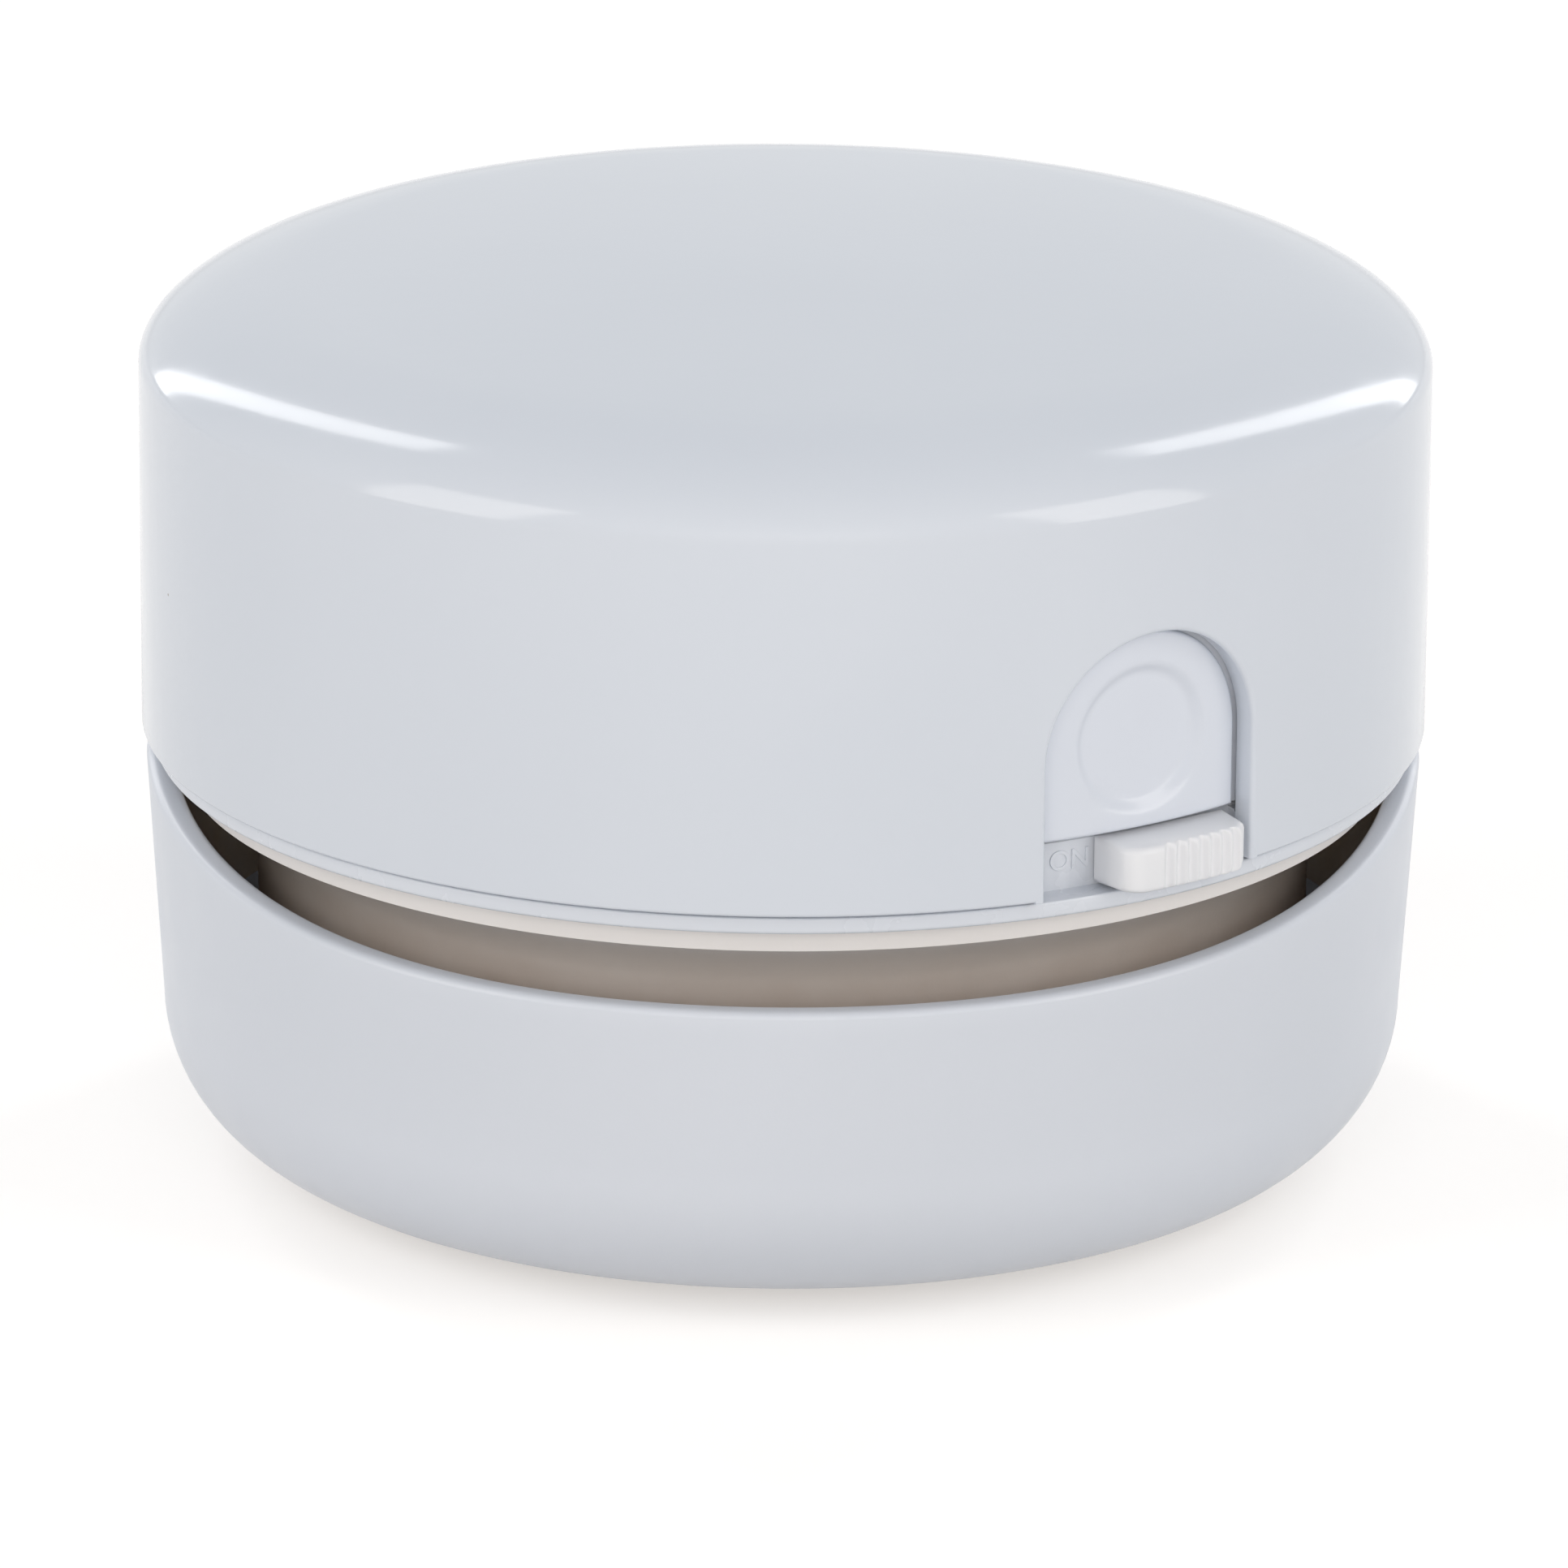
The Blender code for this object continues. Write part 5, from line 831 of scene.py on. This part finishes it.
def make_supports():
    """Battery cradles and posts, screw bosses and the button's guide, and the motor's well under the deck."""
    shapes = []
    for y in (-BATTERY_OFFSET, BATTERY_OFFSET):
        for side in (-1.0, 1.0):
            x = side * CRADLE_X
            rib = block((x - CRADLE_HALF_THICKNESS, y - CRADLE_HALF_WIDTH, SUPPORT_FOOT_Z),
                        (x + CRADLE_HALF_THICKNESS, y + CRADLE_HALF_WIDTH, CRADLE_TOP_Z))
            bed = rod((-BED_HALF_LENGTH, y, BATTERY_Z), (BED_HALF_LENGTH, y, BATTERY_Z), BED_RADIUS, 64)
            shapes.append(carve(rib, "DIFFERENCE", bed))
            x = side * POST_X
            shapes.append(block((x - POST_HALF_THICKNESS, y - POST_HALF_WIDTH, SUPPORT_FOOT_Z),
                                (x + POST_HALF_THICKNESS, y + POST_HALF_WIDTH, POST_TOP_Z)))
    for x, y in ((BOSS_PITCH, 0.0), (0.0, BOSS_PITCH), (-BOSS_PITCH, 0.0)):
        shapes.append(rod((x, y, SUPPORT_FOOT_Z), (x, y, BOSS_TOP_Z), BOSS_RADIUS))

    front, back = -35.0 * MM, -32.0 * MM
    guide = block((-GUIDE_HALF_WIDTH, GUIDE_FRONT, SUPPORT_FOOT_Z), (GUIDE_HALF_WIDTH, GUIDE_BACK, GUIDE_TOP_Z))
    doorway = block((-DOORWAY_HALF_WIDTH, front, 29.0 * MM), (DOORWAY_HALF_WIDTH, back, DOORWAY_TOP_Z))
    stem_hole = rod((0.0, front, STEM_HOLE_Z), (0.0, back, STEM_HOLE_Z), STEM_HOLE_RADIUS)
    shapes.append(carve(guide, "DIFFERENCE", doorway, stem_hole))

    limit = math.asin(WELL_HALF_FLAT / WELL_RADIUS)
    outline = []
    for middle in (0.0, TURN / 2.0):
        outline += arc((0.0, 0.0), (WELL_RADIUS, WELL_RADIUS), middle - limit, middle + limit, 12)
    shapes.append(prism(outline, WELL_BOTTOM_Z, WELL_TOP_Z))
    finish_piece("chassis_supports", merged(shapes), CHASSIS_ABS, "upper_body", turned=True)


# Fan shroud


def make_shroud(copies):
    turn = math.radians(60.0)
    spread = 4.8 * MM
    wall = 1.4 * MM
    wide = spread / (1.0 - math.cos(turn))
    tall = spread / math.sin(turn)
    flare = arc((34.5 * MM + wide, 21.4 * MM), (wide, tall), TURN / 2.0, TURN / 2.0 - turn, 20)
    outline = [
        (15.0 * MM, 15.0 * MM), (31.3 * MM, 15.0 * MM), (31.3 * MM, 12.4 * MM), (32.6 * MM, 12.4 * MM),
        (32.6 * MM, 15.0 * MM), (34.2 * MM, 15.0 * MM), (34.5 * MM, 15.3 * MM), (34.5 * MM, 18.0 * MM),
        *flare,
        (39.3 * MM, 27.9 * MM), (37.9 * MM, 27.9 * MM),
        *[(r - wall, z) for r, z in reversed(flare)],
        (33.1 * MM, 16.2 * MM), (15.0 * MM, 16.2 * MM),
    ]
    slot = block((31.0 * MM, -3.0 * MM, 16.5 * MM), (36.0 * MM, 3.0 * MM, 18.9 * MM))
    slots = grow(slot, copies, {"Count": 16, "Divisions": 16, "Start": TURN / 32.0, "Sweep": TURN})
    slots.transform(CONTROL_TURN)
    shroud = carve(spun(outline, FINE_STEPS), "DIFFERENCE", slots)
    finish_piece("exhaust_funnel", shroud, INNER_ABS, "upper_body", ["fan_shroud"])


# Bristles


def bristle_tree(material):
    """Rows of small bristle tufts along an arc, each strand leaning its own way from a fixed seed."""
    tree, given = new_tree("bristle_rows", {
        "Strands": 1, "Strands Per Row": 1, "Inner Radius": 0.0, "Row Pitch": 0.0, "Start": 0.0, "Sweep": 0.0,
        "Top Z": 0.0, "Length": 0.0, "Thickness": 0.0, "Lean": 0.0, "Seed": 1,
    })

    def maths(operation, *values):
        return add(tree, "ShaderNodeMath", dict(enumerate(values)), operation=operation).outputs[0]

    def chance(low, high, shift):
        seed = maths("ADD", given["Seed"], float(shift))
        drawn = add(tree, "FunctionNodeRandomValue", {2: low, 3: high, "Seed": seed}, data_type="FLOAT")
        return drawn.outputs[1]

    places = add(tree, "GeometryNodePoints", {"Count": given["Strands"], "Radius": 0.0})
    index = add(tree, "GeometryNodeInputIndex").outputs[0]
    row = maths("FLOOR", maths("DIVIDE", index, given["Strands Per Row"]))
    rank = maths("ADD", maths("MODULO", index, given["Strands Per Row"]), chance(0.2, 0.8, 1))
    along = maths("DIVIDE", rank, given["Strands Per Row"])
    angle = maths("ADD", given["Start"], maths("MULTIPLY", along, given["Sweep"]))
    outward = maths("MULTIPLY", maths("ADD", row, chance(0.2, 0.8, 2)), given["Row Pitch"])
    radius = maths("ADD", given["Inner Radius"], outward)
    spot = add(tree, "ShaderNodeCombineXYZ", {
        "X": maths("MULTIPLY", radius, maths("COSINE", angle)),
        "Y": maths("MULTIPLY", radius, maths("SINE", angle)),
        "Z": given["Top Z"],
    })
    placed = add(tree, "GeometryNodeSetPosition", {
        "Geometry": places.outputs[0], "Position": spot.outputs[0],
    })
    strand = add(tree, "GeometryNodeMeshCone", {
        "Vertices": 4, "Side Segments": 2, "Radius Top": given["Thickness"],
        "Radius Bottom": maths("MULTIPLY", given["Thickness"], 0.7), "Depth": given["Length"],
    })
    drop = add(tree, "ShaderNodeCombineXYZ", {"Z": maths("MULTIPLY", given["Length"], -1.0)})
    hung = add(tree, "GeometryNodeTransform", {
        "Geometry": strand.outputs[0], "Translation": drop.outputs[0],
    })
    lean = add(tree, "ShaderNodeCombineXYZ", {
        "X": maths("MULTIPLY", given["Lean"], chance(-1.0, 1.0, 3)),
        "Y": maths("MULTIPLY", given["Lean"], chance(-1.0, 1.0, 4)),
        "Z": chance(0.0, 3.0, 5),
    })
    copies = add(tree, "GeometryNodeInstanceOnPoints", {
        "Points": placed.outputs[0], "Instance": hung.outputs[0], "Rotation": lean.outputs[0],
    })
    end_tree(tree, copies.outputs[0], material)
    return tree


def make_brush():
    carrier = spun([
        (13.1 * MM, 2.6 * MM), (14.3 * MM, 2.6 * MM), (14.3 * MM, 4.2 * MM), (19.0 * MM, 4.2 * MM),
        (19.0 * MM, 2.6 * MM), (20.2 * MM, 2.6 * MM), (20.2 * MM, 5.4 * MM), (13.1 * MM, 5.4 * MM),
    ], 128)
    finish_piece("bristle_carrier", carrier, SATIN_ABS, "cup", ["brush_ring"],
                 round_off=0.12 * MM)
    tree = bristle_tree(NYLON)
    outer_radius = 18.7 * MM
    gap_between_arcs = 2.0 * MM
    sweep = TURN / 4.0 - gap_between_arcs / outer_radius
    for number in range(4):
        start = TURN * number / 4.0 + (TURN / 4.0 - sweep) / 2.0
        backing = spun([
            (14.6 * MM, 3.0 * MM), (outer_radius, 3.0 * MM), (outer_radius, 3.9 * MM), (14.6 * MM, 3.9 * MM),
        ], 32, start, sweep)
        seedling = bmesh.new()
        seedling.verts.new((0.0, 0.0, 0.0))
        strands = grow(seedling, tree, {
            "Strands": 700, "Strands Per Row": 100, "Inner Radius": 14.75 * MM, "Row Pitch": 0.54 * MM,
            "Start": start, "Sweep": sweep, "Top Z": 3.2 * MM, "Length": 3.18 * MM, "Thickness": 0.1 * MM,
            "Lean": 0.09, "Seed": 11 + number,
        })
        finish_piece(f"bristle_tufts_{number + 1}", merged([backing, strands]), NYLON, "cup",
                     [f"bristle_arc_{number + 1}"])


def make_inner_pieces():
    """The plain inner solids, as clean copies with eased edges and their own finishes."""
    for node, material, body, slot, round_off in (
        ("seal_ring", FOAM, "cup", "grey_rubber", 0.1),
        ("filter_frame", GREY_NYLON, "upper_body", "grey_nylon", 0.12),
        ("filter_disc", FILTER_CLOTH, "upper_body", "filter_cloth", 0.0),
        ("impeller", FAN_ABS, "fan_rotor", "white_abs", 0.0),
        ("motor_shaft", DRAWN_STEEL, "fan_rotor", "plated_steel", 0.08),
        ("motor_can", DRAWN_STEEL, "upper_body", "plated_steel", 0.3),
        ("motor_endcap", INNER_ABS, "upper_body", "inner_white_abs", 0.3),
        ("motor_terminal_left", BRASS, "upper_body", "brass", 0.06),
        ("motor_terminal_right", BRASS, "upper_body", "brass", 0.06),
        ("battery_front", SLEEVE_PVC, "upper_body", "battery_sleeve", 0.0),
        ("battery_back", SLEEVE_PVC, "upper_body", "battery_sleeve", 0.0),
        ("positive_contact", NICKEL, "upper_body", "plated_steel", 0.06),
        ("negative_contact", NICKEL, "upper_body", "plated_steel", 0.06),
        ("bridge_contact", NICKEL, "upper_body", "plated_steel", 0.06),
        ("contact_spring_1", SPRING_STEEL, "upper_body", "plated_steel", 0.0),
        ("contact_spring_2", SPRING_STEEL, "upper_body", "plated_steel", 0.0),
        ("button_spring", SPRING_STEEL, "upper_body", "plated_steel", 0.0),
        ("shroud_screw_1", NICKEL, "upper_body", "plated_steel", 0.1),
        ("shroud_screw_2", NICKEL, "upper_body", "plated_steel", 0.1),
        ("shroud_screw_3", NICKEL, "upper_body", "plated_steel", 0.1),
        ("switch_lever", BLACK_ACETAL, "switch_slider", "black_plastic", 0.08),
        ("switch_body", NICKEL, "upper_body", "plated_steel", 0.08),
        ("wire_motor_to_negative", BLACK_PVC, "upper_body", "black_plastic", 0.0),
        ("wire_motor_to_switch", RED_PVC, "upper_body", "red_wire", 0.0),
        ("wire_positive_to_switch", RED_PVC, "upper_body", "red_wire", 0.0),
    ):
        rounded_copy(node, material, body, round_off * MM)


# Studio


# The paper's colour and the share of light added where it is seen, the sky's level, and lamps in watts
PAPER = "DEDEDE"
PAPER_LIFT = 0.5
AIR_LEVEL = 0.42
STRIP_POWER = 2.0
WINDOW_POWER = 3.2
FILL_POWER = 3.4
# Degrees round from the camera and up from the floor
STRIP_AZIMUTH, STRIP_HEIGHT = 141.0, 28.0
WINDOW_AZIMUTH, WINDOW_HEIGHT = 62.0, 24.0
FILL_HEIGHT = 14.0


def make_camera():
    right = Vector((0.99997621, 0.00205639, 0.00658476))
    up = Vector((-0.0068977, 0.3115771, 0.95019584))
    forward = Vector((0.0000976854, 0.950218649, -0.311583873))
    lens = bpy.data.cameras.new("view")
    lens.lens = 284.97
    lens.sensor_width = 36.0
    lens.clip_start = 0.05
    lens.clip_end = 20.0
    camera = bpy.data.objects.new("view", lens)
    turn = Matrix((right, up, -forward)).transposed().to_4x4()
    camera.matrix_world = Matrix.Translation((0.0, -774.733 * MM, 278.382 * MM)) @ turn
    bpy.context.scene.collection.objects.link(camera)
    bpy.context.scene.camera = camera


def add_softbox(name, place, aim, width, height, power, colour="FFFFFF"):
    light = bpy.data.lights.new(name, "AREA")
    light.shape = "RECTANGLE"
    light.size = width
    light.size_y = height
    light.energy = power
    light.color = linear(colour)[:3]
    lamp = bpy.data.objects.new(name, light)
    lamp.location = place
    lamp.rotation_euler = (Vector(aim) - Vector(place)).to_track_quat("-Z", "Y").to_euler()
    bpy.context.scene.collection.objects.link(lamp)
    return lamp


def seen_directly(tree):
    """1 for what the camera, a mirror or glass sees, 0 for the light that falls on things."""
    rays = add(tree, "ShaderNodeLightPath").outputs
    mirrored = add(tree, "ShaderNodeMath", {0: rays["Is Glossy Ray"], 1: rays["Is Transmission Ray"]},
                   operation="MAXIMUM").outputs[0]
    either = add(tree, "ShaderNodeMath", {0: rays["Is Camera Ray"], 1: mirrored}, operation="MAXIMUM")
    return either.outputs[0]


def sky_place(azimuth, height, distance=1.05):
    """A place round the object: azimuth 0 is the camera's side, positive to the right."""
    turn, lift = math.radians(azimuth), math.radians(height)
    return (distance * math.cos(lift) * math.sin(turn), -distance * math.cos(lift) * math.cos(turn),
            distance * math.sin(lift) + 0.05)


def make_studio():
    material, tree, shader, _ = start_material("studio_paper", 0.9)
    shader.inputs["Specular IOR Level"].default_value = 0.0
    shader.inputs["Base Color"].default_value = linear(PAPER)
    shader.inputs["Emission Color"].default_value = linear("FFFAF5")
    lift = add(tree, "ShaderNodeMath", {0: seen_directly(tree), 1: PAPER_LIFT}, operation="MULTIPLY")
    tree.links.new(lift.outputs[0], shader.inputs["Emission Strength"])
    floor_shape = spun([(0.0, -1.0 * MM), (4.0, -1.0 * MM), (4.0, 0.0), (0.0, 0.0)], 64)
    floor = loose_object(floor_shape)
    floor.name = "studio_floor"
    floor.data.materials.append(material)

    world = bpy.data.worlds.new("studio_air")
    world.use_nodes = True
    bpy.context.scene.world = world
    tree = world.node_tree
    cool = [value * AIR_LEVEL for value in linear("EDF4FC")[:3]]
    colour = mix_colours(tree, seen_directly(tree), (*cool, 1.0), (1.0, 1.0, 1.0, 1.0))
    tree.links.new(colour, tree.nodes["Background"].inputs["Color"])

    middle = (0.0, 0.0, 0.05)
    for side, name in ((-1.0, "left"), (1.0, "right")):
        strip_place = sky_place(side * STRIP_AZIMUTH, STRIP_HEIGHT)
        window_place = sky_place(side * WINDOW_AZIMUTH, WINDOW_HEIGHT)
        add_softbox(f"{name}_strip", strip_place, middle, 0.17, 1.05, STRIP_POWER)
        add_softbox(f"{name}_window", window_place, middle, 0.55, 0.85, WINDOW_POWER, "FFF9F2")
    fill = add_softbox("front_fill", sky_place(0.0, FILL_HEIGHT), middle, 0.7, 0.5, FILL_POWER, "FFF6EC")
    fill.visible_glossy = False
    bpy.context.scene.view_settings.view_transform = "Standard"


make_camera()
make_studio()
COPIES = turned_copies_tree(INNER_ABS)
make_dust_cup()
make_cap()
make_button()
make_knob()
make_lettering()
make_chassis()
make_supports()
make_shroud(COPIES)
make_brush()
make_inner_pieces()
